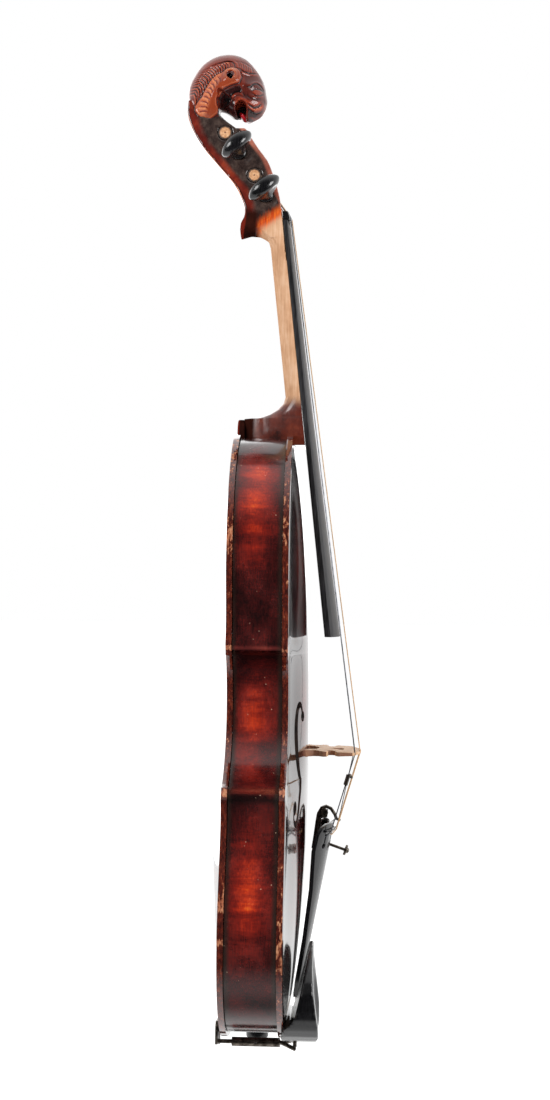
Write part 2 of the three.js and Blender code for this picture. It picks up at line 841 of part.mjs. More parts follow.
/** Height of one raised place at a spot, falling off smoothly round its middle. */
function relief({ at, size, turn, height }, x, z) {
  const angle = THREE.MathUtils.degToRad(turn);
  const [dx, dz] = [x - at[0], z - at[1]];
  const [u, v] = [dx * Math.cos(angle) + dz * Math.sin(angle), dz * Math.cos(angle) - dx * Math.sin(angle)];
  return height * Math.exp(-((u / size[0]) ** 2) - (v / size[1]) ** 2);
}

/** Band of curls over crown and nape. */
function maneRelief(x, z) {
  const angle = THREE.MathUtils.radToDeg(Math.atan2(z, x));
  const share = ((angle < 0 ? angle + 360 : angle) - mane.from) / (mane.to - mane.from);
  if (share < 0 || share > 1) return 0;
  const across = (Math.hypot(x, z) - mane.reachShare) / mane.widthShare;
  const curl = 1 - mane.curlShare * Math.sin(Math.PI * mane.curls * share) ** 2;
  return mane.heightShare * curl * Math.sin(Math.PI * share) ** 0.5 * Math.exp(-(across ** 2));
}

/** Half width of the head at a spot given in skull radii from its middle. */
function headHalf(ringShare, x, z) {
  const carved = reliefShares.reduce((sum, each) => sum + relief(each, x, z), maneRelief(x, z));
  const round = Math.sqrt(Math.max(1 - ringShare ** fullness, 0));
  return head.skullHalf * (round + carved * Math.sqrt(1 - ringShare ** 2));
}

function carvedSkull() {
  const steps = 36;
  const outline = rimShares.map((share, i) => {
    const turn = (2 * Math.PI * i) / rimShares.length;
    return point(share * Math.cos(turn), 0, share * Math.sin(turn));
  });
  const curve = new THREE.CatmullRomCurve3(outline, true);
  const places = [];
  const faces = [];
  for (const side of [-1, 1]) {
    const first = places.length / 3;
    const add = (ringShare, x, z) => {
      const y = side * headHalf(ringShare, x, z);
      places.push(skull.x + head.skullRadius * x, y, skull.y + head.skullRadius * z);
    };
    add(0, 0, 0);
    for (const share of ringShares) {
      for (let k = 0; k < steps; k += 1) {
        const rim = curve.getPoint(k / steps);
        add(share, rim.x * share, rim.z * share);
      }
    }
    const face = (p, q, r) => faces.push(...(side > 0 ? [p, r, q] : [p, q, r]));
    const at = (ring, k) => first + 1 + ring * steps + (k % steps);
    for (let k = 0; k < steps; k += 1) {
      face(first, at(0, k), at(0, k + 1));
      for (let ring = 0; ring + 1 < ringShares.length; ring += 1) {
        face(at(ring, k), at(ring + 1, k), at(ring + 1, k + 1));
        face(at(ring, k), at(ring + 1, k + 1), at(ring, k + 1));
      }
    }
  }
  const geometry = new THREE.BufferGeometry();
  geometry.setAttribute('position', new THREE.Float32BufferAttribute(places, 3));
  geometry.setIndex(faces);
  return solid(geometry);
}

/** Gap between jaw and pegbox, and the open mouth, seen from the side. */
const throatShares = [
  [0.69, 0.675],
  [0.629, 0.648],
  [0.572, 0.62],
  [0.506, 0.592],
  [0.3, 0.58],
  [0.25, 0.5],
  [0.438, 0.54],
  [0.57, 0.6],
  [0.66, 0.645],
];
const mouthShares = [
  [0.491, 0.707],
  [0.537, 0.689],
  [0.546, 0.665],
  [0.528, 0.629],
  [0.512, 0.57],
  [0.43, 0.57],
  [0.45, 0.635],
  [0.435, 0.652],
  [0.443, 0.689],
];

const earHole = { place: [3.5, 5.7], radius: 1.2, depth: 9 };
const tongue = { place: [12, -14.2], half: 2.1, thick: 4, length: 5.4, turn: 48 };

function lionHead() {
  const reach = head.skullHalf * 2;
  const openings = [throatShares, mouthShares].map((shares) => {
    return prism(shares.map(headPlace), 'y', -reach, reach);
  });
  const ears = [-1, 1].map((side) => {
    const at = (y) => point(skull.x + earHole.place[0], side * y, skull.y + earHole.place[1]);
    return bar(at(earHole.depth), at(reach), earHole.radius, 8);
  });
  const middle = point(skull.x + tongue.place[0], 0, skull.y + tongue.place[1]);
  const halves = point(tongue.length, tongue.thick, tongue.half);
  return cut(carvedSkull(), [...openings, ...ears]).add(egg(middle, halves, tongue.turn, 12, 7));
}

const neckPiece = cut(union([neckShaft(), pegbox(), lionHead()]), pegHoles());
piece('neck', neckPiece, finish.headstock);

// Plates

const neckCutter = loft(heelRings(fit));

function saddleNotch() {
  const reach = saddle.half + fit;
  return box(point(-overrun, -reach, -overrun), point(body.edge + overrun, reach, saddle.depth + fit));
}

const belly = archedPlate(body.bellyArch, 1, () => 0);
const bellyCutters = [neckCutter, saddleNotch(), fHoleCutter(-1), fHoleCutter(1)];
piece('top_plate', cut(belly, bellyCutters), finish.belly);

/** Half-round tab of the back under the heel. */
function button() {
  const steps = 12;
  const top = body.length + neck.heelTop;
  const straight = top - neck.heelTopHalf;
  const arc = Array.from({ length: steps + 1 }, (_, i) => {
    const turn = (Math.PI * i) / steps;
    return plane(neck.heelTopHalf * Math.cos(turn), straight + neck.heelTopHalf * Math.sin(turn));
  });
  const foot = body.length - body.border;
  const outline = [plane(neck.heelTopHalf, foot), ...arc, plane(-neck.heelTopHalf, foot)];
  return prism(outline, 'x', -rib.heightUpper - body.edge, -rib.heightUpper);
}

const backBase = (z) => -ribHeight(z);
piece('back_plate', archedPlate(body.backArch, -1, backBase).add(button()), finish.back);

// Ribs with their linings

/** Moves an open line of points sideways, towards the inside of the body. */
function inset(line, distance) {
  return line.map((p, i) => {
    const before = line[Math.max(i - 1, 0)];
    const after = line[Math.min(i + 1, line.length - 1)];
    const along = after.clone().sub(before).normalize();
    return plane(p.x - along.y * distance, p.y + along.x * distance);
  });
}

/** Draws the last point of a line back by a distance, or on where that is below zero. */
function shorten(line, distance) {
  const [end, before] = [line[line.length - 1], line[line.length - 2]];
  const share = distance / end.distanceTo(before);
  return [...line.slice(0, -1), end.clone().lerp(before, share)];
}

const mirrored = (line, side) => line.map((p) => plane(side * p.x, p.y));

/** C-shaped strip that follows a line: a wall with a lining along both of its edges. */
function ribStrip(line, side, depths, reach, liningDepth) {
  const [out, wall, deep] = depths.map((depth) => mirrored(inset(line, depth), side));
  const rings = line.map((p, i) => {
    const [top, bottom] = [reach, -ribHeight(p.y) - reach];
    const at = (q, x) => point(x, q.x, q.y);
    return [
      at(out[i], top),
      at(out[i], bottom),
      at(deep[i], bottom),
      at(deep[i], bottom + liningDepth),
      at(wall[i], bottom + liningDepth),
      at(wall[i], top - liningDepth),
      at(deep[i], top - liningDepth),
      at(deep[i], top),
    ];
  });
  return loft(rings);
}

/** The lines that the ribs follow, all carried on past the corners by the corners' own width. */
const ribLines = {
  lower: shorten([plane(fit, 0), ...bouts.lower], -body.cornerWidth),
  waist: shorten([...shorten(bouts.waist, -body.cornerWidth)].reverse(), -body.cornerWidth).reverse(),
  upper: shorten([plane(fit, body.length), ...[...bouts.upper].reverse()], -body.cornerWidth).reverse(),
};

/** The room round the ribs' outer faces, with a blunt end where two ribs meet in a corner. */
function ribRoom() {
  const half = Object.values(bouts).flatMap((line) => inset(line, rib.overhang - fit));
  const left = mirrored(half, -1).reverse();
  return prism([...half, ...left], 'x', -rib.heightLower, 0);
}

const ribBounds = ribRoom();

function ribSolid(name, side) {
  const depths = [rib.overhang, rib.overhang + rib.wall, rib.overhang + rib.wall + rib.lining];
  return ribStrip(ribLines[name], side, depths, -fit, rib.liningDepth).intersect(ribBounds);
}

/** Room that a rib, with its linings, needs in its neighbours. */
function ribCutter(name, side) {
  const inside = rib.overhang + rib.wall + fit;
  const depths = [-overrun, inside, inside + rib.lining];
  return ribStrip(ribLines[name], side, depths, overrun, rib.liningDepth + overrun + 2 * fit);
}

const sides = [
  { name: 'bass', sign: -1 },
  { name: 'treble', sign: 1 },
];

const buttonX = -rib.heightLower / 2;
const tailHole = bar(
  point(buttonX, 0, -overrun),
  point(buttonX, 0, rib.overhang + endButton.shankLength + 2 * fit),
  endButton.shankRadius + fit,
);

for (const { name, sign } of sides) {
  const neighbours = [ribCutter('lower', sign), ribCutter('upper', sign)];
  piece(`upper_rib_${name}`, ribSolid('upper', sign).subtract(neckCutter), finish.rib);
  piece(`waist_rib_${name}`, cut(ribSolid('waist', sign), neighbours), finish.rib);
  piece(`lower_rib_${name}`, ribSolid('lower', sign).subtract(tailHole), finish.rib);
}

// Blocks

const allRibCutters = sides.flatMap(({ sign }) => {
  return ['lower', 'waist', 'upper'].map((name) => ribCutter(name, sign));
});

function endBlock(half, low, high, height) {
  const blank = box(point(-height + fit, -half, low), point(-fit, half, high));
  return cut(blank.intersect(ribBounds), allRibCutters);
}

const behindRib = rib.overhang + rib.wall + fit;
const upperBlock = endBlock(
  block.upperWidth / 2,
  body.length - behindRib - block.upperDepth,
  body.length - behindRib,
  rib.heightUpper,
);
const lowerBlock = endBlock(
  block.lowerWidth / 2,
  behindRib,
  behindRib + block.lowerDepth,
  rib.heightLower,
);
piece('upper_block', upperBlock.subtract(neckCutter), finish.innerWood);
piece('lower_block', lowerBlock.subtract(tailHole), finish.innerWood);

/** Point on a line, measured along it from its start. */
function along(line, distance) {
  let left = distance;
  for (let i = 1; i < line.length; i += 1) {
    const step = line[i].distanceTo(line[i - 1]);
    if (left <= step) return line[i - 1].clone().lerp(line[i], left / step);
    left -= step;
  }
  return line[line.length - 1].clone();
}

/** Three-sided block behind the joint of a bout rib and the waist rib. */
function cornerBlock(boutLine, waistLine, side) {
  const [a, c] = [along(boutLine, block.cornerReach), along(waistLine, block.cornerReach)];
  const tip = boutLine[0].clone().add(waistLine[0]).multiplyScalar(0.5);
  const outline = mirrored([a, tip, c], side);
  const z = tip.y;
  return cut(prism(outline, 'x', -ribHeight(z) + fit * 2, -fit).intersect(ribBounds), allRibCutters);
}

const lowerDown = [...bouts.lower].reverse();
const waistDown = [...bouts.waist].reverse();
for (const { name, sign } of sides) {
  const upperCorner = cornerBlock(bouts.upper, waistDown, sign);
  const lowerCorner = cornerBlock(lowerDown, bouts.waist, sign);
  piece(`upper_corner_block_${name}`, upperCorner, finish.innerWood);
  piece(`lower_corner_block_${name}`, lowerCorner, finish.innerWood);
}

// Bass bar and sound post, both fitted to the arches

const bellyRoom = archedPlate(body.bellyArch, 1, () => -fit);
const backRoom = archedPlate(body.backArch, -1, (z) => -ribHeight(z) + fit);

function bassBarPiece() {
  const steps = 10;
  const rings = Array.from({ length: steps + 1 }, (_, i) => {
    const share = i / steps;
    const z = bassBar.lift + body.length * bassBar.lengthShare * share;
    const height = lerp(bassBar.tip, bassBar.height, Math.sin(Math.PI * share));
    const bottom = bellyInner(bassBar.offset, z) - height;
    const [left, right] = [-bassBar.width / 2, bassBar.width / 2].map((y) => y - bassBar.offset);
    const top = bellyInner(bassBar.offset, z) + body.edge / 2;
    return [point(top, left, z), point(bottom, left, z), point(bottom, right, z), point(top, right, z)];
  });
  return loft(rings).subtract(bellyRoom);
}
piece('bass_bar', bassBarPiece(), finish.innerWood);

const postHeight = bridge.place - soundPost.behindBridge;
const post = bar(
  point(backInner(soundPost.offset, postHeight) - body.edge / 2, soundPost.offset, postHeight),
  point(bellyInner(soundPost.offset, postHeight) + body.edge / 2, soundPost.offset, postHeight),
  soundPost.radius,
);
piece('sound_post', cut(post, [bellyRoom, backRoom]), finish.innerWood);

// Strings: routes from the tailpiece over fret, bridge and nut to the pegs

const tailTop = tailpiece.bottom + tailpiece.length;
const tailCrown = (z) => tailpiece.foot + tailpiece.riseShare * (z - tailpiece.bottom);
const tailSurface = (y, z) => tailCrown(z) - sagitta(tailpiece.radius, Math.abs(y));
const fretHeight = tailTop - fret.fromTop;

const stringAt = {
  tail: (i) => (stringSide[i] * strings.tailSpread) / 2,
  bridge: (i) => (stringSide[i] * strings.bridgeSpread) / 2,
  nut: (i) => (stringSide[i] * strings.nutSpread) / 2,
};

const nutCrestShare = 0.35;
const nutCrest = nutStart + nut.length * nutCrestShare;

function pegPlace(i) {
  const { shares, side, inward } = pegPlans[i];
  const { x, y: z } = headPlace(shares);
  const room = pegboxInner(z) - 2 * fit - strings.radii[i];
  const width = winding.turns * (2 * strings.radii[i] + winding.gap);
  const start = inward ? side * room : side * (room - width);
  return { x, z, side, start, drift: (inward ? -side : side) * width };
}

/** Circle that a string takes round its peg, with the point where the string meets it. */
function pegTurn(i) {
  const place = pegPlace(i);
  const radius = pegRadius(place.start * place.side, pegboxHalf(place.z)) + fit + strings.radii[i];
  const from = plane(nutTop(stringAt.nut(i)), nutCrest);
  const centre = plane(place.x, place.z);
  const run = centre.clone().sub(from);
  const ahead = run.clone().normalize();
  const out = plane(ahead.y, -ahead.x);
  const tilt = Math.asin(radius / run.length());
  return { ...place, radius, centre, ahead, out, tilt };
}

function onPeg(turn, angle, y, grow = 0) {
  const reach = turn.radius + grow;
  const x = turn.centre.x + reach * (turn.out.x * Math.cos(angle) + turn.ahead.x * Math.sin(angle));
  const z = turn.centre.y + reach * (turn.out.y * Math.cos(angle) + turn.ahead.y * Math.sin(angle));
  return point(x, y, z);
}

/** Places that a string bends over: tailpiece fret, bridge and nut. */
function stringRoute(i) {
  const radius = strings.radii[i];
  const [tail, over, end] = [stringAt.tail(i), stringAt.bridge(i), stringAt.nut(i)];
  const fretTop = tailSurface(tail, fretHeight) + fit + fret.height + radius + fit;
  return [
    point(fretTop, tail, fretHeight),
    point(bridgeTop(over), over, bridge.place),
    point(nutTop(end), end, nutCrest),
  ];
}

const slotTop = tailTop - tailpiece.slotFromTop + tailpiece.slotLength;

const loopSteps = 24;

/** Turns of a string round its peg, from where it first touches the shaft. */
function turnsOnPeg(i) {
  const turn = pegTurn(i);
  const steps = loopSteps * winding.turns;
  return Array.from({ length: steps + 1 }, (_, k) => {
    const share = k / steps;
    const angle = 2 * Math.PI * winding.turns * share - turn.tilt;
    return onPeg(turn, angle, turn.start + turn.drift * share);
  });
}

/** One string with its turns on the peg, as one unbroken tube. */
function stringPiece(i) {
  const radius = strings.radii[i];
  const route = stringRoute(i);
  const turns = turnsOnPeg(i);
  console.error(`string_${stringNames[i]}: least gap between turns ${leastGap(turns, radius).toFixed(2)} mm`);
  if (stringNames[i] === 'e') {
    const { stemEnd, run } = eyelet(route[1], radius);
    return wire([stemEnd.addScaledVector(run, fit), ...route.slice(1), ...turns], radius, 6);
  }
  const y = stringAt.tail(i);
  const z = slotTop - tailpiece.slotWidth;
  const under = tailSurface(y, z) - tailpiece.wall - fit - strings.knot;
  const entry = point(tailSurface(y, z) + radius, y, z);
  const knot = egg(point(under, y, z), point(strings.knot, strings.knot, strings.knot), 0, 8, 6);
  return wire([point(under, y, z), entry, ...route, ...turns], radius, 6).add(knot);
}

/** Least distance between neighbouring turns of a string, tube to tube. */
function leastGap(turns, radius) {
  let least = Infinity;
  for (let a = 0; a < turns.length; a += 1) {
    for (let b = a + loopSteps / 2; b < turns.length; b += 1) {
      least = Math.min(least, turns[a].distanceTo(turns[b]));
    }
  }
  return least - 2 * radius;
}

// Fingerboard, nut and saddle

function fingerboard() {
  const arcSteps = 10;
  const ringAt = (z) => {
    const half = boardHalf(z);
    const arc = Array.from({ length: arcSteps + 1 }, (_, i) => {
      const y = lerp(-half, half, i / arcSteps);
      return point(boardTop(y, z), y, z);
    });
    return [...arc, point(neckFront(z), half, z), point(neckFront(z), -half, z)];
  };
  const end = nutStart - board.length;
  const blank = loft([nutStart, (nutStart + end) / 2, end].map(ringAt));
  const hollowAt = (z, deep) => {
    const half = boardHalf(z) - board.endSide;
    return Array.from({ length: arcSteps + 1 }, (_, i) => {
      const turn = (Math.PI * i) / arcSteps;
      return point(neckFront(z) - fit + (deep + fit) * Math.sin(turn), half * Math.cos(turn), z);
    });
  };
  const hollow = loft([
    hollowAt(end - overrun, board.scoop * 2),
    hollowAt(body.length - neck.mortise - 2 * overrun, board.scoop),
  ]);
  return blank.subtract(hollow);
}
piece('fingerboard', fingerboard(), finish.board);

/** Grooves that the strings lie in, a clearance wider than the strings. */
const stringGrooves = stringNames.map((_, i) => {
  return wire([...stringRoute(i), turnsOnPeg(i)[0]], strings.radii[i] + fit, 6);
});

function nutPiece() {
  const [low, high] = [nutStart + fit, nutStart + nut.length];
  const steps = 8;
  const half = board.nutHalf;
  const rings = Array.from({ length: steps + 1 }, (_, i) => {
    const y = lerp(-half, half, i / steps);
    const top = nutTop(y) + strings.radii[0] / 2;
    return [
      point(neckFront(low), y, low),
      point(top, y, low),
      point(top, y, nutCrest),
      point(top - nut.lift, y, high),
      point(neckFront(high), y, high),
    ];
  });
  return cut(loft(rings), stringGrooves);
}
piece('nut', nutPiece(), finish.ebony);

const saddleShares = [
  [0, 0],
  [0.66, 0],
  [0.9, 0.08],
  [1, 0.3],
  [1, 0.6],
  [0.72, 1],
  [0, 1],
];
const saddleProfile = saddleShares.map(([up, deep]) => {
  return plane(saddle.height * up, lerp(-saddle.front, saddle.depth, deep));
});
piece('saddle', prism(saddleProfile, 'y', -saddle.half, saddle.half), finish.ebony);

// End button and tailgut

function endButtonPiece() {
  const collar = rib.overhang - fit;
  const groove = collar - endButton.grooveLength;
  const end = groove - endButton.headLength;
  const tip = rib.overhang + endButton.shankLength;
  const profile = [
    [0, 0],
    [endButton.headRadius - endButton.rounding, 0],
    [endButton.headRadius, endButton.rounding],
    [endButton.headRadius, groove - end - endButton.rounding],
    [endButton.headRadius - endButton.rounding, groove - end],
    [endButton.grooveRadius, groove - end],
    [endButton.grooveRadius, collar - end],
    [endButton.shankRadius, collar - end],
    [endButton.tipRadius, tip - end],
    [0, tip - end],
  ];
  return turned(profile, point(buttonX, 0, end), point(0, 0, 1), 16);
}
piece('end_button', endButtonPiece(), finish.ebony);

/** Bends of the tailgut round the saddle, as shares of the saddle's height and depth. */
const gutBendShares = [
  [1, 0.5],
  [0.95, 0],
  [0.6, 0],
];

function tailgutRoute() {
  const y = tailgut.spread;
  const clear = tailgut.radius + fit;
  const z = rib.overhang - endButton.grooveLength / 2;
  const inside = tailpiece.gutHole - fit;
  const seat = tailCrown(tailpiece.bottom) - tailpiece.endWall / 2;
  const [crest, edge, face] = gutBendShares.map(([up, deep]) => {
    return plane(saddle.height * up, lerp(-saddle.front, saddle.depth, deep));
  });
  const right = [
    point(seat + tailpiece.riseShare * inside, y, tailpiece.bottom + inside),
    point(seat, y, tailpiece.bottom),
    point(crest.x + clear, y, crest.y),
    point(edge.x + clear, y, edge.y),
    point(face.x, y, face.y - clear),
    point(0, y, -saddle.front - clear),
  ];
  const left = right.map((p) => point(p.x, -y, p.z)).reverse();
  const steps = 8;
  const reach = endButton.grooveRadius + clear;
  const loop = Array.from({ length: steps + 1 }, (_, i) => {
    const turn = (Math.PI * i) / steps;
    return point(buttonX - reach * Math.sin(turn), reach * Math.cos(turn), z);
  });
  return [...right, ...loop, ...left];
}
piece('tailgut', wire(tailgutRoute(), tailgut.radius, 6), finish.tailgut);

// Fine tuner of the E string: a body under the tailpiece whose boss comes up through it, a ring nut
// on that boss, a lever on a pin past the tailpiece's end, and a screw that pushes the lever's long arm

const tunerY = stringAt.tail(3);
const screwHeight = tailTop - tuner.screwFromTop;
const lean = THREE.MathUtils.degToRad(tuner.screwLean);
const screwSeat = point(tailSurface(tunerY, screwHeight), tunerY, screwHeight);
const onScrew = (t) => screwSeat.clone().add(point(t * Math.cos(lean), 0, -t * Math.sin(lean)));
const pivotX = tailSurface(tunerY, tailTop) - tailpiece.side - fit;
const pivotHeight = tailTop + tuner.pivotBeyond;
const acrossTuner = (half, x, z) => [point(x, tunerY - half, z), point(x, tunerY + half, z)];

/** Top of the room under the tailpiece that the tuner's plate has. */
const tunerCeiling = (z) => tailSurface(tunerY + tuner.width / 2, z) - tailpiece.wall - fit;
const bossRoom = bar(onScrew(-tailpiece.wall * 3), onScrew(overrun), tuner.bossRadius + fit);

const cheekShares = [
  [-0.75, -1.2],
  [-0.46, -1.2],
  [-0.34, -0.55],
  [0.3, -0.4],
  [0.36, 0.3],
  [-0.1, 0.42],
  [-0.55, -0.3],
];

function tunerBody() {
  const low = screwHeight - tuner.ringRadius;
  const high = tailTop - fit;
  const outline = [
    plane(tunerCeiling(low), low),
    plane(tunerCeiling(high), high),
    plane(tunerCeiling(high) - tuner.plate, high),
    plane(tunerCeiling(low) - tuner.plate, low),
  ];
  const half = tuner.width / 2;
  const plate = prism(outline, 'y', tunerY - half, tunerY + half);
  const cheek = cheekShares.map(([x, z]) => {
    return plane(pivotX + tuner.cheekLength * x, pivotHeight + tuner.cheekLength * z);
  });
  const cheeks = [-1, 1].map((side) => {
    const edges = [side * (half - tuner.plate / 4), side * (half + tuner.cheek)].sort((a, b) => a - b);
    return prism(cheek, 'y', tunerY + edges[0], tunerY + edges[1]);
  });
  const boss = bar(onScrew(-bossDepth()), onScrew(tuner.ringLength * 2), tuner.bossRadius);
  const bore = bar(onScrew(-bossDepth() * 2), onScrew(overrun * 2), tuner.screwRadius + fit, 10);
  const pin = bar(...acrossTuner(tuner.width, pivotX, pivotHeight), tuner.pivotRadius + fit, 10);
  return cut(union([plate, ...cheeks, boss]), [bore, pin]);
}

/** How far the boss reaches down from the tailpiece's face to the tuner's plate. */
function bossDepth() {
  return (screwSeat.x - tunerCeiling(screwHeight) + tuner.plate / 2) / Math.cos(lean);
}
piece('tuner_body', tunerBody(), finish.nickel);

const ringStart = sagitta(tailpiece.radius, tunerY) / 2 + fit;
const ringNut = bar(onScrew(ringStart), onScrew(ringStart + tuner.ringLength), tuner.ringRadius, 14);
piece('tuner_ring_nut', ringNut.subtract(bossRoomOutside()), finish.nickel);

function bossRoomOutside() {
  return bar(onScrew(0), onScrew(overrun * 3), tuner.bossRadius + fit);
}

piece(
  'tuner_pivot_pin',
  bar(...acrossTuner(tuner.width / 2 + tuner.cheek, pivotX, pivotHeight), tuner.pivotRadius, 10),
  finish.nickel,
);

// Lever as shares of its hook's reach and its arm's length, seen from the side, about the pivot

const leverShares = [
  [-0.92, -1],
  [-0.76, -0.63],
  [-0.62, -0.26],
  [-0.51, -0.03],
  [-0.23, 0.139],
  [0.135, 0.185],
  [0.54, 0.12],
  [0.865, -0.037],
  [1, -0.17],
];
const crestShares = [0, 0.17];
const leverPlace = ([x, z]) => plane(pivotX + tuner.hookReach * x, pivotHeight + tuner.armLength * z);

/** Bends a flat strap through a list of places seen from the side. */
function strap(route, thick, half) {
  const offsets = route.map((_, i) => {
    const before = route[Math.max(i - 1, 0)];
    const after = route[Math.min(i + 1, route.length - 1)];
    const ahead = after.clone().sub(before).normalize();
    return plane(-ahead.y, ahead.x).multiplyScalar(thick / 2);
  });
  const left = route.map((p, i) => p.clone().add(offsets[i]));
  const right = route.map((p, i) => p.clone().sub(offsets[i])).reverse();
  return prism([...left, ...right], 'y', tunerY - half, tunerY + half);
}

const hookEnd = leverPlace(leverShares[leverShares.length - 1]);
const nibTip = hookEnd.clone().add(plane(Math.cos(lean), -Math.sin(lean)).multiplyScalar(tuner.nibLength));

function tunerLever() {
  const half = tuner.leverWidth / 2;
  const eyeRadius = tuner.pivotRadius + fit + tuner.plate;
  const crest = leverPlace(crestShares);
  const parts = [
    strap(leverShares.map(leverPlace), tuner.strap, half),
    bar(...acrossTuner(half, pivotX, pivotHeight), eyeRadius, 12),
    strap([plane(pivotX, pivotHeight), crest], tuner.strap, half),
    bar(point(hookEnd.x, tunerY, hookEnd.y), point(nibTip.x, tunerY, nibTip.y), tuner.nibRadius, 8),
  ];
  const bore = bar(...acrossTuner(tuner.width, pivotX, pivotHeight), tuner.pivotRadius + fit, 10);
  return union(parts).subtract(bore);
}
piece('tuner_lever', tunerLever(), finish.nickel);

/** Distance along the screw's axis at which it reaches the lever's long arm. */
function screwTip() {
  const [foot, knee] = [leverPlace(leverShares[0]), leverPlace(leverShares[1])];
  const arm = knee.clone().sub(foot).normalize();
  const away = plane(screwSeat.x - foot.x, screwSeat.z - foot.y);
  const normal = plane(arm.y, -arm.x);
  const closing = normal.x * Math.cos(lean) - normal.y * Math.sin(lean);
  return (tuner.strap / 2 + fit - away.dot(normal)) / closing;
}

const knobStart = tuner.screwReach - tuner.knobLength / 2;
const screwEnd = knobStart + tuner.knobLength / 2;
piece('tuner_screw', bar(onScrew(screwTip()), onScrew(screwEnd), tuner.screwRadius, 12), finish.nickel);

/** Dome on the knob: shares of its radius, outwards and along the axis. */
const domeShares = [
  [1, 0],
  [0.8, 0.6],
  [0, 0.9],
];

function tunerKnob() {
  const { knobRadius, knobLength, domeRadius } = tuner;
  const bevel = knobLength / 6;
  const profile = [
    [0, 0],
    [knobRadius - bevel, 0],
    [knobRadius, bevel],
    [knobRadius, knobLength - bevel],
    [knobRadius - bevel, knobLength],
    ...domeShares.map(([out, up]) => [domeRadius * out, knobLength + domeRadius * up]),
  ];
  const start = onScrew(knobStart);
  const axis = onScrew(screwEnd).sub(start);
  const bore = bar(onScrew(0), onScrew(screwEnd + fit), tuner.screwRadius + fit, 12);
  return turned(profile, start, axis, 16).subtract(bore);
}
piece('tuner_knob', tunerKnob(), finish.nickel);

const nibShare = 0.6;

/** Loop at the end of the E string, hung on the lever's nib, with the short twisted stem above it. */
function eyelet(towards, radius) {
  const nib = hookEnd.clone().lerp(nibTip, nibShare);
  const centre = point(nib.x, tunerY, nib.y);
  const run = towards.clone().sub(centre).normalize();
  centre.addScaledVector(run, tuner.eyelet - radius - tuner.nibRadius - fit);
  const axis = run.clone().cross(point(0, 1, 0)).normalize();
  const torus = new THREE.TorusGeometry(tuner.eyelet, radius, 6, 16);
  torus.applyQuaternion(new THREE.Quaternion().setFromUnitVectors(point(0, 0, 1), axis));
  const ring = solid(torus.translate(centre.x, centre.y, centre.z));
  const top = centre.clone().addScaledVector(run, tuner.eyelet);
  const stemEnd = top.clone().addScaledVector(run, tuner.eyeletStem);
  return { shape: ring.add(wire([top, stemEnd], radius, 6)), stemEnd, run };
}

// Tailpiece with its keyholes and string fret

const endWallShare = 0.2;
const tailHalfShares = [
  [0, 0.42],
  [0.03, 0.51],
  [0.3, 0.6],
  [0.62, 0.8],
  [0.85, 1],
  [0.94, 0.985],
  [0.98, 0.88],
  [1, 0.68],
];

function tailpieceBlank() {
  const arcSteps = 8;
  const rings = tailHalfShares.map(([share, wide]) => {
    const z = tailpiece.bottom + tailpiece.length * share;
    const half = tailpiece.topHalf * wide;
    const wall = lerp(tailpiece.endWall, tailpiece.wall, clamp01(share / endWallShare));
    const arc = Array.from({ length: arcSteps + 1 }, (_, i) => lerp(-half, half, i / arcSteps));
    const outer = arc.map((y) => point(tailSurface(y, z), y, z));
    const inner = arc.map((y) => {
      const thick = lerp(wall, tailpiece.side, Math.abs(y) / half);
      return point(tailSurface(y, z) - thick, y, z);
    });
    return [...outer, ...inner.reverse()];
  });
  return loft(rings);
}

/** Round hole with a slot above it, for one string. */
function keyhole(y) {
  const z = tailTop - tailpiece.slotFromTop;
  const [low, high] = [0, tailCrown(tailTop) + overrun];
  const half = tailpiece.slotWidth / 2;
  const slot = box(point(low, y - half, z), point(high, y + half, slotTop));
  return bar(point(low, y, z), point(high, y, z), tailpiece.keyhole, 10).add(slot);
}

function gutHole(y) {
  const z = tailpiece.bottom;
  const seat = tailCrown(z) - tailpiece.endWall / 2;
  const start = point(seat - overrun * tailpiece.riseShare, y, z - overrun);
  const end = point(seat + tailpiece.gutHole * tailpiece.riseShare, y, z + tailpiece.gutHole);
  return bar(start, end, tailgut.radius + fit, 8);
}

const keyholes = stringNames.slice(0, -1).map((_, i) => keyhole(stringAt.tail(i)));
const gutHoles = [gutHole(-tailgut.spread), gutHole(tailgut.spread)];
piece('tailpiece', cut(tailpieceBlank(), [...keyholes, ...gutHoles, bossRoom]), finish.ebony);

function fretPiece() {
  const steps = 8;
  const rings = Array.from({ length: steps + 1 }, (_, i) => {
    const y = lerp(-fret.spread, fret.spread, i / steps);
    const surface = tailSurface(y, fretHeight) + fit;
    const at = (share, up) => {
      const dz = (fret.width * share) / 2;
      return point(surface + dz * tailpiece.riseShare + up, y, fretHeight + dz);
    };
    return [at(-1, 0), at(-0.5, fret.height), at(0.5, fret.height), at(1, 0)];
  });
  return loft(rings);
}
piece('tailpiece_fret', fretPiece(), finish.ebony);

// Bridge: shares of its half width and of its height, up the treble half

const bellySeat = archedPlate(body.bellyArch, 1, () => fit, () => -overrun);

const bridgeShares = [
  [0, 0.31],
  [0.2, 0.3],
  [0.38, 0.24],
  [0.46, 0.15],
  [0.44, 0.09],
  [0.4, 0],
  [1, 0],
  [0.99, 0.08],
  [0.84, 0.14],
  [0.78, 0.22],
  [0.84, 0.31],
  [1.0, 0.37],
  [1.02, 0.43],
  [0.8, 0.46],
  [0.64, 0.44],
  [0.6, 0.5],
  [0.68, 0.57],
  [0.86, 0.58],
  [1.03, 0.63],
  [1.0, 0.74],
];
const heartShares = [
  [0, 0.5],
  [0.13, 0.58],
  [0.24, 0.66],
  [0.2, 0.73],
  [0.1, 0.72],
  [0, 0.66],
];

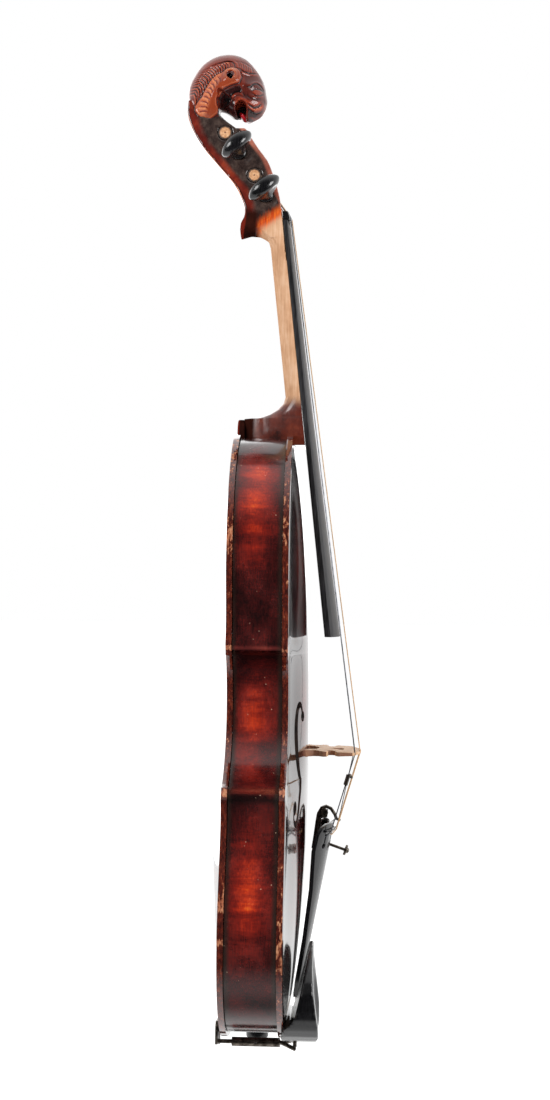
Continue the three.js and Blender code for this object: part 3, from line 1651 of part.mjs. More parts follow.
function bridgePiece() {
  const half = bridge.width / 2;
  const foot = bellyOuter(half, bridge.place) - body.edge;
  const rise = bridgeCrown - foot;
  const place = ([wide, high], sign) => plane(foot + rise * high, sign * half * wide);
  const right = bridgeShares.map((share) => place(share, 1));
  const steps = 8;
  const crown = Array.from({ length: steps + 1 }, (_, i) => {
    const y = lerp(half, -half, i / steps);
    return plane(bridgeTop(y) + strings.radii[0] / 2, y);
  });
  const left = bridgeShares.slice(1).map((share) => place(share, -1)).reverse();
  const heart = [
    ...heartShares.map((share) => place(share, 1)),
    ...heartShares.slice(1, -1).map((share) => place(share, -1)).reverse(),
  ];
  const [low, high] = [bridge.place - bridge.footThick / 2, bridge.place + bridge.footThick / 2];
  const blank = prism([...right, ...crown, ...left], 'z', low, high);
  const heartCutter = prism(heart, 'z', low - overrun, high + overrun);
  const taper = (bridge.footThick - bridge.topThick) / 2;
  const wedge = (sign) => {
    const face = bridge.place + (sign * bridge.footThick) / 2;
    const outline = [
      plane(foot - overrun, face),
      plane(bridgeCrown + overrun, face - sign * taper * (1 + overrun / rise)),
      plane(bridgeCrown + overrun, face + sign * overrun),
      plane(foot - overrun, face + sign * overrun),
    ];
    return prism(outline, 'y', -half * 2, half * 2);
  };
  return cut(blank, [heartCutter, bellySeat, wedge(1), wedge(-1), ...stringGrooves]);
}
piece('bridge', bridgePiece(), finish.bridge);

// The strings themselves and their turns on the pegs

const stringLooks = [finish.steel, finish.gut, finish.gut, finish.steel];
stringNames.forEach((name, i) => piece(`string_${name}`, stringPiece(i), stringLooks[i]));
piece('string_e_loop', eyelet(stringRoute(3)[1], strings.radii[3]).shape, finish.steel);

// Pegs and their bushings

function pegPiece({ shares, side, lean: leanDegrees }) {
  const { x, y: z } = headPlace(shares);
  const half = pegboxHalf(z);
  const tip = -half + bushing.cap + fit;
  const collar = half + fit + fit;
  const neckEnd = collar + peg.collarLength + peg.shank;
  const middle = neckEnd + peg.thumbLength / 2;
  const profile = [
    [0, tip],
    [pegRadius(tip, half), tip],
    [pegRadius(half, half), collar],
    [peg.collarRadius, collar],
    [peg.collarRadius, collar + peg.collarLength],
    [peg.waistRadius, collar + peg.waistAt],
    [peg.waistRadius, neckEnd],
    [peg.rootRadius, middle],
    [0, middle],
  ];
  const shaft = turned(profile, point(x, 0, z), point(0, side, 0), 12);
  const halves = point(peg.thumbHalf, peg.thumbLength / 2, peg.thumbThick / 2);
  const thumb = egg(point(x, side * middle, z), halves, -leanDegrees, 12, 6);
  return shaft.add(thumb);
}

/** Bushing ring in one cheek. The far one from the thumbpiece has a closed end. */
function bushingPiece(z, x, direction, closed) {
  const [inner, outer] = [pegboxInner(z) + fit, pegboxHalf(z) + fit / 2];
  const shaft = pegRadius(closed ? -outer : outer, pegboxHalf(z)) + fit;
  const end = closed ? outer - bushing.cap : outer + overrun;
  const at = (t) => point(x, direction * t, z);
  const ring = bar(at(inner), at(outer), bushing.radius, 10);
  return ring.subtract(bar(at(inner - overrun), at(end), shaft, 10));
}

for (const plan of pegPlans) {
  const { x, y: z } = headPlace(plan.shares);
  piece(`peg_${plan.name}`, pegPiece(plan), finish.ebony);
  piece(`peg_bushing_${plan.name}_collar`, bushingPiece(z, x, plan.side, false), finish.boxwood);
  piece(`peg_bushing_${plan.name}_tip`, bushingPiece(z, x, -plan.side, true), finish.boxwood);
}

// Chinrest: a dished plate on a cork pad, held by a bracket, two barrels and a foot

/** Height of the body's bottom edge at a distance from the centre line. */
function edgeHeight(y) {
  const reach = Math.abs(y);
  const next = bouts.lower.findIndex((p) => p.x >= reach);
  if (next <= 0) return 0;
  const [a, b] = [bouts.lower[next - 1], bouts.lower[next]];
  return lerp(a.y, b.y, (reach - a.x) / (b.x - a.x));
}

/** Side view of the plate: shares of its height over the ribs and of its length. */
const chinrestShares = [
  [0.472, 0],
  [0.27, 0.051],
  [0.27, 0.12],
  [0.3, 0.205],
  [0.4, 0.342],
  [0.536, 0.581],
  [0.644, 0.786],
  [0.73, 0.957],
  [0.815, 1],
  [0.845, 0.991],
  [0.837, 0.82],
  [0.88, 0.615],
  [0.987, 0.29],
  [1, 0.137],
  [0.923, 0],
];
const chinrestPlace = ([x, z]) => plane(chinrest.height * x, chinrest.bottom + chinrest.length * z);

function chinrestOutline() {
  const steps = 26;
  const ellipse = Array.from({ length: steps }, (_, i) => {
    const turn = (2 * Math.PI * i) / steps;
    const up = chinrest.bottom + (chinrest.length * (1 + Math.sin(turn))) / 2;
    return plane(chinrest.centre + chinrest.half * Math.cos(turn), up);
  });
  return prism(ellipse, 'x', 0, chinrest.height + overrun);
}

const clampPlaces = [1, -1].map((side) => {
  const y = clamp.centre + (side * clamp.spacing) / 2;
  return { y, z: edgeHeight(y) - clamp.stand - clamp.barrelRadius };
});
const barrelTop = clamp.barrelMiddle + clamp.barrelLength / 2;
const barrelFoot = clamp.barrelMiddle - clamp.barrelLength / 2;

/** Wire that joins the tops of both barrels, with two prongs that enter the plate. */
function bracket(grow) {
  const radius = clamp.rodRadius + grow;
  const [first, second] = clampPlaces;
  const z = chinrest.bottom - clamp.rodRadius - fit;
  const rod = ({ y, z: height }, x) => point(x, y, height);
  const shape = wire(
    [
      rod(first, barrelTop - clamp.rodInBarrel),
      rod(first, barrelTop + clamp.rodRadius),
      point(clamp.bracketHeight, first.y, z),
      point(clamp.bracketHeight, second.y, z),
      rod(second, barrelTop + clamp.rodRadius),
      rod(second, barrelTop - clamp.rodInBarrel),
    ],
    radius,
    10,
  );
  const prongs = [-1, 1].map((side) => {
    const y = clamp.centre + (side * clamp.prongSpacing) / 2;
    const start = point(clamp.bracketHeight, y, z);
    return bar(start, point(clamp.bracketHeight, y, z + clamp.prong + grow), radius, 10);
  });
  return union([shape, ...prongs]);
}

function chinrestPlate() {
  const side = prism(chinrestShares.map(chinrestPlace), 'y', -body.lowerHalf, 0);
  const dish = egg(
    point(chinrest.dishHeight, chinrest.centre, chinrest.dishPlace),
    point(chinrest.dishDepth, chinrest.dishHalf, chinrest.dishLength),
    0,
    18,
    10,
  );
  return cut(side.intersect(chinrestOutline()), [dish, bracket(fit)]);
}
piece('chinrest_plate', chinrestPlate(), finish.ebony);
piece('chinrest_bracket', bracket(0), finish.nickel);

function chinrestCork() {
  const under = chinrestPlace(chinrestShares[1]).x - fit;
  const [low, high] = [chinrest.corkLow, chinrest.corkHigh];
  const [left, right] = [chinrest.centre - chinrest.corkHalf, chinrest.centre + chinrest.corkHalf];
  const bottom = body.edge + fit;
  const blank = box(point(bottom, left, low), point(under, right, high));
  return blank.intersect(outlinePrism(0, under)).intersect(chinrestOutline()).subtract(bellySeat);
}
piece('chinrest_cork', chinrestCork(), finish.cork);

function barrel({ y, z }) {
  const at = (x) => point(x, y, z);
  const tube = bar(at(barrelFoot), at(barrelTop), clamp.barrelRadius, 14);
  const bores = [
    bar(at(barrelTop - clamp.rodInBarrel - fit), at(barrelTop + overrun), clamp.rodRadius + fit, 10),
    bar(at(barrelFoot + clamp.rodInBarrel + fit), at(barrelFoot - overrun), clamp.rodRadius + fit, 10),
  ];
  const reach = clamp.barrelRadius + overrun;
  const spanner = bar(
    point(clamp.barrelMiddle, y - reach, z),
    point(clamp.barrelMiddle, y + reach, z),
    clamp.holeRadius,
    8,
  );
  return cut(tube, [...bores, spanner]);
}
clampPlaces.forEach((place, i) => piece(`chinrest_barrel_${i + 1}`, barrel(place), finish.nickel));

/** Foot seen from behind: shares of the clamp's spacing and of the edge lift between its rods. */
const footShares = [
  [0.63, -0.25],
  [0.63, 1.9],
  [0.45, 2.6],
  [-0.5, 3.1],
  [-0.65, 2.6],
  [-0.65, 0.75],
  [-0.45, 0.7],
  [0.4, -0.25],
];
const footCorkShares = [
  [0.55, 1.1],
  [0.55, 1.8],
  [0.4, 2.4],
  [-0.45, 2.9],
  [-0.57, 2.5],
  [-0.57, 2.05],
];
const footLift = clampPlaces[1].z - clampPlaces[0].z;
const footPlace = ([across, up]) => {
  return plane(clamp.centre + clamp.spacing * across, clampPlaces[0].z + footLift * up);
};
const footFront = -rib.heightLower - body.edge - clamp.cork - 2 * fit;

function footPiece() {
  const blade = prism(footShares.map(footPlace), 'x', footFront - clamp.footThick, footFront);
  const rods = clampPlaces.map(({ y, z }) => {
    const [low, high] = [footFront - clamp.footThick / 2, barrelFoot + clamp.rodInBarrel];
    return bar(point(low, y, z), point(high, y, z), clamp.rodRadius, 10);
  });
  return union([blade, ...rods]);
}
piece('chinrest_foot', footPiece(), finish.nickel);

const backSeat = archedPlate(body.backArch, -1, (z) => -ribHeight(z) - fit, () => -overrun);
const footCorkFace = footFront + clamp.cork + body.edge / 2;
const footCork = prism(footCorkShares.map(footPlace), 'x', footFront + fit, footCorkFace);
piece('chinrest_foot_cork', footCork.subtract(backSeat), finish.cork);

// Small clip on the G string below the bridge

function clipPiece() {
  const [below, above] = stringRoute(0);
  const run = above.clone().sub(below).normalize();
  const high = above.clone().addScaledVector(run, -clip.place);
  const low = high.clone().addScaledVector(run, -clip.length);
  const sleeve = bar(low, high, clip.sleeve, 10);
  const out = point(run.z, 0, -run.x);
  const size = point(clip.knob, clip.knob, clip.knob);
  const near = high.clone().addScaledVector(out, clip.knob);
  const far = high.clone().addScaledVector(run, -clip.knob).addScaledVector(out, clip.reach);
  const start = low.clone().addScaledVector(run, -overrun);
  const end = high.clone().addScaledVector(run, overrun);
  const bore = bar(start, end, strings.radii[0] + fit, 8);
  return union([sleeve, egg(near, size, 0, 8, 4), egg(far, size, 0, 8, 4)]).subtract(bore);
}
piece('string_clip', clipPiece(), finish.nickel);

const group = new THREE.Group();
group.name = 'violin';
group.add(...pieces);
group.position.set(hanger.behind, 0, hanger.drop - nutStart);

export default group;
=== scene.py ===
"""Dresses a violin with a carved lion head: varnish, bare maple, ebony, gut, steel and nickel."""

from __future__ import annotations

import json
import logging
import math
from contextlib import contextmanager
from dataclasses import dataclass
from enum import Enum
from typing import Iterator, Sequence

import bpy
import numpy as np
from mathutils import Matrix, Vector

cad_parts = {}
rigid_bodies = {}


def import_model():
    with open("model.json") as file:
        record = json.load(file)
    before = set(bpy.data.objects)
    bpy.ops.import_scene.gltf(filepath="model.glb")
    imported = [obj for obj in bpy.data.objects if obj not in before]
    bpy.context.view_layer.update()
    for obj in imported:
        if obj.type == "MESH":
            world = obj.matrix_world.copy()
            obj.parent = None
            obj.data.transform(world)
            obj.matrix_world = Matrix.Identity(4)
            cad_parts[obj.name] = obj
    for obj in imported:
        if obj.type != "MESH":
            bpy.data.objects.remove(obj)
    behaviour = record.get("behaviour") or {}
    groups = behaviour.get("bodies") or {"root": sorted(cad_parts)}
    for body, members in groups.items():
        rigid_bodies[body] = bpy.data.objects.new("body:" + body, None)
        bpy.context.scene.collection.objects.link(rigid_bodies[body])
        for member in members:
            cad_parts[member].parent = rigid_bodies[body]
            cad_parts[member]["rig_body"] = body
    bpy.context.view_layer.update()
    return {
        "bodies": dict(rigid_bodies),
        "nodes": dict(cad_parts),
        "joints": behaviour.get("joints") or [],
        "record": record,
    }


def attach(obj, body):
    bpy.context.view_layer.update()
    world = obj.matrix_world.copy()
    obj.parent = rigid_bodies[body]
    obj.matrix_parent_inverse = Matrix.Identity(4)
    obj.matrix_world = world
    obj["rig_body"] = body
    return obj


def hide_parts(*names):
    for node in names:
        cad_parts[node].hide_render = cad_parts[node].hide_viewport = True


LOG = logging.getLogger("violin")

MM = 0.001
ORIGIN = Vector((15.0, 0.0, -474.0))  # the body's own zero in the frame, in millimetres
MERGE = 0.000002  # points nearer than this many metres are one point

Colour = tuple[int, int, int]  # as it looks, from 0 to 255
Pair = tuple[float, float]
Line = tuple[Pair, ...]
Place = tuple[float, float, float]
Socket = bpy.types.NodeSocket
Piece = bpy.types.Object
WHITE = (1.0, 1.0, 1.0, 1.0)


def at(x: float, y: float, z: float) -> Vector:
    """A place given in the body's own millimetres, as metres in the frame.

    Args:
        x: Distance out of the belly from the plane where it meets the ribs.
        y: Distance towards the treble side.
        z: Height above the bottom of the body.

    Returns:
        The place in the frame.
    """
    return (Vector((x, y, z)) + ORIGIN) * MM


def shade(colour: Colour) -> tuple[float, ...]:
    """A colour as linear light with full cover."""
    parts = (part / 255 for part in colour)
    return (*(part / 12.92 if part <= 0.04045 else ((part + 0.055) / 1.055) ** 2.4 for part in parts), 1.0)


def rise(value: np.ndarray, start: float, length: float) -> np.ndarray:
    """Climbs from 0 at a start to 1 after a length, downwards where the length is below zero."""
    return np.clip((value - start) / length, 0, 1)


def bump(value: np.ndarray, middle: float, reach: float) -> np.ndarray:
    """A smooth hill, 1 at its middle."""
    return np.exp(-(((value - middle) / reach) ** 2))


class Value:
    """A number that varies over a surface. Sums and products with it add nodes."""

    def __init__(self, nodes: Nodes, socket: Socket) -> None:
        """Keeps the node tree and the socket that gives the number."""
        self.nodes, self.socket = nodes, socket

    def __add__(self, other: object) -> Value:
        """The sum."""
        return self.nodes.maths("ADD", self, other)

    def __sub__(self, other: object) -> Value:
        """The difference."""
        return self.nodes.maths("SUBTRACT", self, other)

    def __mul__(self, other: object) -> Value:
        """The product."""
        return self.nodes.maths("MULTIPLY", self, other)

    def __abs__(self) -> Value:
        """The number without its sign."""
        return self.nodes.maths("ABSOLUTE", self)


class Nodes:
    """A node tree with short ways to add and join nodes."""

    def __init__(self, tree: bpy.types.NodeTree) -> None:
        """Starts from an empty tree."""
        self.tree = tree
        tree.nodes.clear()

    def node(self, kind: str, *values: object, **settings: object) -> bpy.types.Node:
        """Adds a node.

        Args:
            kind: Name of the node type.
            *values: What goes into its first sockets.
            **settings: Its properties by name.

        Returns:
            The new node.
        """
        made = self.tree.nodes.new(f"ShaderNode{kind}")
        for key, value in settings.items():
            setattr(made, key, value)
        for socket, value in zip(made.inputs, values):
            self.feed(socket, value)
        return made

    def feed(self, socket: Socket, value: object) -> None:
        """Links a socket to another one or to a node's first result, or sets its plain value.

        Args:
            socket: The socket.
            value: A number, colour, socket, node or varying number.
        """
        if isinstance(value, bpy.types.Node):
            value = value.outputs[0]
        value = value.socket if isinstance(value, Value) else value
        if isinstance(value, Socket):
            self.tree.links.new(value, socket)
        else:
            socket.default_value = value

    def fill(self, made: bpy.types.Node, **values: object) -> bpy.types.Node:
        """Feeds a node's sockets by name, with underscores for spaces.

        Args:
            made: The node.
            **values: What each socket takes.

        Returns:
            The same node.
        """
        for name, value in values.items():
            self.feed(made.inputs[name.replace("_", " ")], value)
        return made

    def value(self, made: bpy.types.Node, output: int | str = 0) -> Value:
        """One of a node's results as a number."""
        return Value(self, made.outputs[output])

    def maths(self, operation: str, *values: object, clamp: bool = False) -> Value:
        """The result of an operation on numbers, if wanted kept between 0 and 1."""
        return self.value(self.node("Math", *values, operation=operation, use_clamp=clamp))

    def split(self, vector: Socket) -> list[Value]:
        """The three parts of a vector."""
        made = self.node("SeparateXYZ", vector)
        return [self.value(made, part) for part in range(3)]

    def spread(self, value: Value, low: float, high: float, to: Pair = (0.0, 1.0)) -> Value:
        """Maps a range of numbers smoothly to another one.

        Args:
            value: The number.
            low: Where the range starts.
            high: Where it ends.
            to: What start and end become.

        Returns:
            The mapped number.
        """
        return self.value(self.node("MapRange", value, low, high, *to, interpolation_type="SMOOTHSTEP"))

    def hill(self, value: Value, middle: float, reach: float) -> Value:
        """A smooth hill, 1 at its middle and near 0 at twice its reach."""
        away = (value - middle) * (1 / reach)
        return self.maths("EXPONENT", away * away * -1.0)


class Sheet(Nodes):
    """A material with one shader, patterned in the piece's own coordinates."""

    def __init__(self, name: str) -> None:
        """Starts an empty material with its name.

        Args:
            name: Name of the material.
        """
        self.material = bpy.data.materials.new(name)
        self.material.use_nodes = True
        super().__init__(self.material.node_tree)
        self.output = self.node("OutputMaterial")
        self.shader = self.node("BsdfPrincipled")
        self.feed(self.output.inputs["Surface"], self.shader.outputs[0])
        self.coords = self.node("TexCoord").outputs["Object"]

    def stretched(self, scale: float | Place) -> Socket:
        """Coordinates scaled evenly or along each axis, in patterns a metre."""
        scale = scale if isinstance(scale, tuple) else (scale,) * 3
        return self.fill(self.node("Mapping", self.coords), Scale=scale).outputs["Vector"]

    def noise(self, scale: float | Place, detail: float = 3.0, rough: float = 0.5, bend: float = 0.0) -> Value:
        """Cloudy noise.

        Args:
            scale: Patterns a metre, evenly or along each axis.
            detail: How many finer layers it has.
            rough: How strong those are.
            bend: How much the pattern is distorted.

        Returns:
            A number about 0.5.
        """
        made = self.fill(self.node("TexNoise"), Vector=self.stretched(scale), Scale=1.0)
        return self.value(self.fill(made, Detail=detail, Roughness=rough, Distortion=bend), "Fac")

    def dots(self, scale: float, size: float) -> Value:
        """Small round specks, 1 inside, with their size as a share of their cells."""
        made = self.fill(self.node("TexVoronoi", feature="F1"), Vector=self.stretched(scale), Scale=1.0)
        return self.spread(self.value(made, "Distance"), size, size * 0.5)

    def mix(self, share: object, first: Socket | Colour, second: Socket | Colour) -> Socket:
        """Mixes two colours.

        Args:
            share: How much of the second one there is.
            first: The colour below.
            second: The colour above.

        Returns:
            The mixed colour.
        """
        made = self.node("Mix", share, data_type="RGBA")
        for socket, colour in zip(made.inputs[6:8], (first, second)):
            self.feed(socket, shade(colour) if isinstance(colour, tuple) else colour)
        return made.outputs[2]

    def ramp(self, value: Value, *stops: tuple[float, Colour]) -> Socket:
        """A colour scale.

        Args:
            value: Number that picks the colour.
            *stops: Positions and their colours.

        Returns:
            The colour.
        """
        made = self.node("ValToRGB", value)
        elements = made.color_ramp.elements
        while len(elements) < len(stops):
            elements.new(0.5)
        for element, (position, colour) in zip(elements, stops):
            element.position = position
            element.color = shade(colour)
        return made.outputs[0]

    def axes(self) -> list[Value]:
        """The body's own x, y and z in millimetres at each point."""
        return [part * (1 / MM) - shift for part, shift in zip(self.split(self.coords), ORIGIN)]

    def facing(self) -> list[Value]:
        """The surface's own direction along x, y and z."""
        return self.split(self.node("NewGeometry").outputs["Normal"])

    def attribute(self, name: str) -> Value:
        """A number kept on the piece's own points."""
        return self.value(self.node("Attribute", attribute_name=name), "Fac")

    def curve(self, value: Value, points: Line, low: float, high: float) -> Value:
        """A measured line: what it gives for a number.

        Args:
            value: The number along the line.
            points: Numbers with what belongs to each, in rising order.
            low: Lowest result that the line may give.
            high: Highest one.

        Returns:
            The result.
        """
        start, end = points[0][0], points[-1][0]
        made = self.node("FloatCurve")
        self.fill(made, Value=self.maths("DIVIDE", value - start, end - start, clamp=True))
        line = made.mapping.curves[0]
        places = [((place - start) / (end - start), (result - low) / (high - low)) for place, result in points]
        for place in places[1:-1]:
            line.points.new(*place)
        line.points[0].location, line.points[-1].location = places[0], places[-1]
        made.mapping.update()
        return self.value(made) * (high - low) + low

    def relief(self, height: Value, depth: float, strength: float) -> None:
        """Bumps the surface.

        Args:
            height: Heights from 0 to 1.
            depth: Depth of the relief in metres.
            strength: How strongly it shows.
        """
        made = self.fill(self.node("Bump"), Strength=strength, Distance=depth, Height=height)
        self.feed(self.shader.inputs["Normal"], made.outputs["Normal"])

    def finish(self, colour: Socket, rough: object, **sockets: object) -> bpy.types.Material:
        """Joins colour and roughness and feeds the shader's other sockets.

        Args:
            colour: The colour.
            rough: The roughness.
            **sockets: Values by socket name, with underscores for spaces.

        Returns:
            The finished material.
        """
        self.fill(self.shader, Base_Color=colour, Roughness=rough, **sockets)
        return self.material


@dataclass(frozen=True)
class RibVarnish:
    """Dark red-brown varnish over flamed maple that glows in the middle of each bout.

    Attributes:
        name: Name of the finish.
        glows: Height, reach and strength of each glow.
        middle: Where the glows lie across the rib.
        upper: Height of the upper corner.
        lower: Height of the lower corner.
        foot: Height of the dull place on the lower bout.
    """

    name: str = "rib_varnish"
    glows: tuple[Place, ...] = (
        (331.0, 8.0, 0.42), (312.0, 17.0, 0.6), (288.0, 14.0, 0.26), (199.0, 11.0, 0.36), (181.0, 13.0, 0.42),
        (163.0, 9.0, 0.2), (112.0, 20.0, 0.4), (90.0, 13.0, 0.5), (70.0, 12.0, 0.2),
    )  # fmt: skip
    middle: float = -16.5
    upper: float = 230.2
    lower: float = 150.9
    foot: float = 33.0

    def make(self) -> bpy.types.Material:
        """Builds the material.

        Returns:
            The finished material.
        """
        sheet = Sheet(self.name)
        across, _, height = sheet.axes()
        glow: Value | float = 0.0
        for place, reach, strength in self.glows:
            glow = sheet.hill(height, place, reach) * strength + glow
        flame = sheet.spread(sheet.noise((16.0, 10.0, 125.0), 3.0, 0.6, 0.5), 0.3, 0.72)
        clouds = sheet.spread(sheet.noise((60.0, 60.0, 45.0), 4.0, 0.6), 0.28, 0.74)
        light = glow * (sheet.hill(across, self.middle, 8.0) * 0.8 + 0.2) * (flame * 0.7 + 0.5)
        light = light + clouds * 0.24 + 0.02
        light = light + sheet.noise((1500.0, 1500.0, 110.0), 2.0) * 0.34 - 0.17
        light = light + sheet.noise((320.0, 320.0, 1000.0), 2.0) * 0.22 - 0.11
        colour = sheet.ramp(
            light, (0.0, (26, 8, 9)), (0.2, (66, 14, 13)), (0.45, (118, 24, 14)), (0.7, (176, 46, 14)),
            (1.0, (222, 100, 28)),
        )  # fmt: skip
        strip = sheet.ramp(clouds, (0.3, (84, 30, 28)), (0.7, (120, 46, 38)))
        colour = sheet.mix(sheet.hill(height, self.upper, 1.0), colour, strip)
        strip = sheet.ramp(clouds, (0.3, (104, 42, 34)), (0.7, (140, 70, 52)))
        colour = sheet.mix(sheet.hill(height, self.lower, 0.8), colour, strip)
        shadows = (sheet.hill(height, self.upper - 4.6, 3.0), sheet.hill(height, self.lower - 4.2, 3.0))
        colour = sheet.mix(sheet.maths("MAXIMUM", *shadows) * 0.8, colour, (10, 5, 6))
        # Grime and painted shade: greyer bands on the rib just under the overhanging edges of both plates.
        dirt_and_shade = sheet.maths("MAXIMUM", sheet.spread(across, -25.4, -28.2), sheet.spread(across, -3.8, -1.2))
        colour = sheet.mix(dirt_and_shade * (clouds * 0.4 + 0.5), colour, (44, 36, 30))
        specks = sheet.dots(230.0, 0.075) * sheet.spread(clouds, 0.3, 0.6)
        colour = sheet.mix(specks * 0.8, colour, (222, 190, 160))
        sheet.relief(sheet.noise((300.0, 300.0, 200.0), 4.0, 0.6), 0.00025, 0.3)
        gloss = sheet.hill(height, self.upper - 12.0, 11.0) * -0.9 + 1.0
        gloss = sheet.hill(height, self.foot, 10.0) * -0.75 + gloss
        rough = sheet.spread(clouds, 0.0, 1.0, (0.16, 0.3))
        sheet.fill(sheet.shader, Coat_Weight=gloss * 0.6, Specular_IOR_Level=gloss * 0.4)
        return sheet.finish(colour, rough, Coat_Roughness=0.1)


class PlateKind(Enum):
    """The two arched plates of the body."""

    BELLY = "top_plate"
    BACK = "back_plate"


@dataclass(frozen=True)
class PlateVarnish:
    """Varnish of an arched plate with its grain or flame, inlaid border line and worn edge.

    Attributes:
        kind: Which plate it covers.
        name: Name of the finish.
        worn_places: Height, reach and strength of each worn stretch of the edge.
    """

    kind: PlateKind
    name: str
    worn_places: tuple[Place, ...]

    def make(self) -> bpy.types.Material:
        """Builds the material.

        Returns:
            The finished material.
        """
        sheet = Sheet(self.name)
        _, across, height = sheet.axes()
        rim = sheet.attribute("rim")
        colour = self.varnish(sheet, rim)
        if self.kind is PlateKind.BACK:
            colour = sheet.mix(sheet.hill(across, 0.0, 0.16) * 0.6, colour, (24, 9, 8))
        line = sheet.maths("MAXIMUM", sheet.hill(rim, 4.15, 0.24), sheet.hill(rim, 5.15, 0.24))
        colour = sheet.mix(sheet.hill(rim, 4.65, 0.34) * 0.75, colour, (150, 92, 48))
        colour = sheet.mix(line * 0.95, colour, (16, 10, 9))
        fine = sheet.noise((620.0, 620.0, 200.0), 3.0, 0.7)
        side = sheet.ramp(fine, (0.3, (40, 13, 11)), (0.5, (84, 28, 18)), (0.72, (132, 60, 38)))
        colour = sheet.mix(sheet.spread(rim, 1.9, 0.9, (0.0, 0.85)), colour, side)
        strength: Value | float = 0.1
        for place, reach, amount in self.worn_places:
            strength = sheet.hill(height, place, reach) * amount + strength
        patchy = fine * 0.5 + sheet.noise((210.0, 160.0, 120.0), 4.0, 0.75) * 0.5
        worn = sheet.spread(rim, 1.5, 0.3) * sheet.spread(patchy - (strength * -0.13 + 0.6), 0.0, 0.07)
        bare = sheet.ramp(fine, (0.3, (116, 46, 26)), (0.5, (160, 88, 54)), (0.7, (196, 138, 98)))
        # Painted shade: the walls of the sound holes are darkened to the shade inside the body.
        inside = sheet.spread(sheet.attribute("depth"), 0.0, 0.5)
        hole_wall_shade = sheet.ramp(fine, (0.4, (26, 17, 14)), (0.7, (66, 44, 32)))
        colour = sheet.mix(inside, sheet.mix(worn, colour, bare), hole_wall_shade)
        sheet.relief(sheet.noise((140.0, 200.0, 90.0), 4.0, 0.6), 0.0002, 0.2)
        rough = sheet.maths("MAXIMUM", worn, inside) * 0.4 + 0.1
        return sheet.finish(
            colour, rough, Coat_Weight=1.0, Coat_IOR=1.6, Coat_Roughness=0.04, Specular_IOR_Level=0.5
        )

    def varnish(self, sheet: Sheet, rim: Value) -> Socket:
        """Colour of the varnish away from the edge.

        Args:
            sheet: The material.
            rim: Distance from the edge.

        Returns:
            The colour.
        """
        inward = sheet.spread(rim, 4.0, 40.0)
        clouds = sheet.spread(sheet.noise((30.0, 30.0, 22.0), 4.0, 0.6), 0.3, 0.72)
        if self.kind is PlateKind.BELLY:
            grain = sheet.spread(sheet.noise((4.0, 980.0, 6.0), 1.0, 0.4, 0.15), 0.35, 0.65)
            light = inward * (clouds * 0.4 + 0.16) + grain * 0.14 - 0.05
        else:
            flame = sheet.spread(sheet.noise((6.0, 12.0, 135.0), 2.0, 0.5, 0.7), 0.36, 0.66)
            light = inward * (flame * 0.55 + 0.22) + clouds * 0.24 - 0.08
        return sheet.ramp(
            light, (0.0, (20, 7, 9)), (0.25, (42, 12, 12)), (0.5, (84, 22, 16)), (0.75, (136, 44, 20)),
            (1.0, (190, 92, 40)),
        )  # fmt: skip


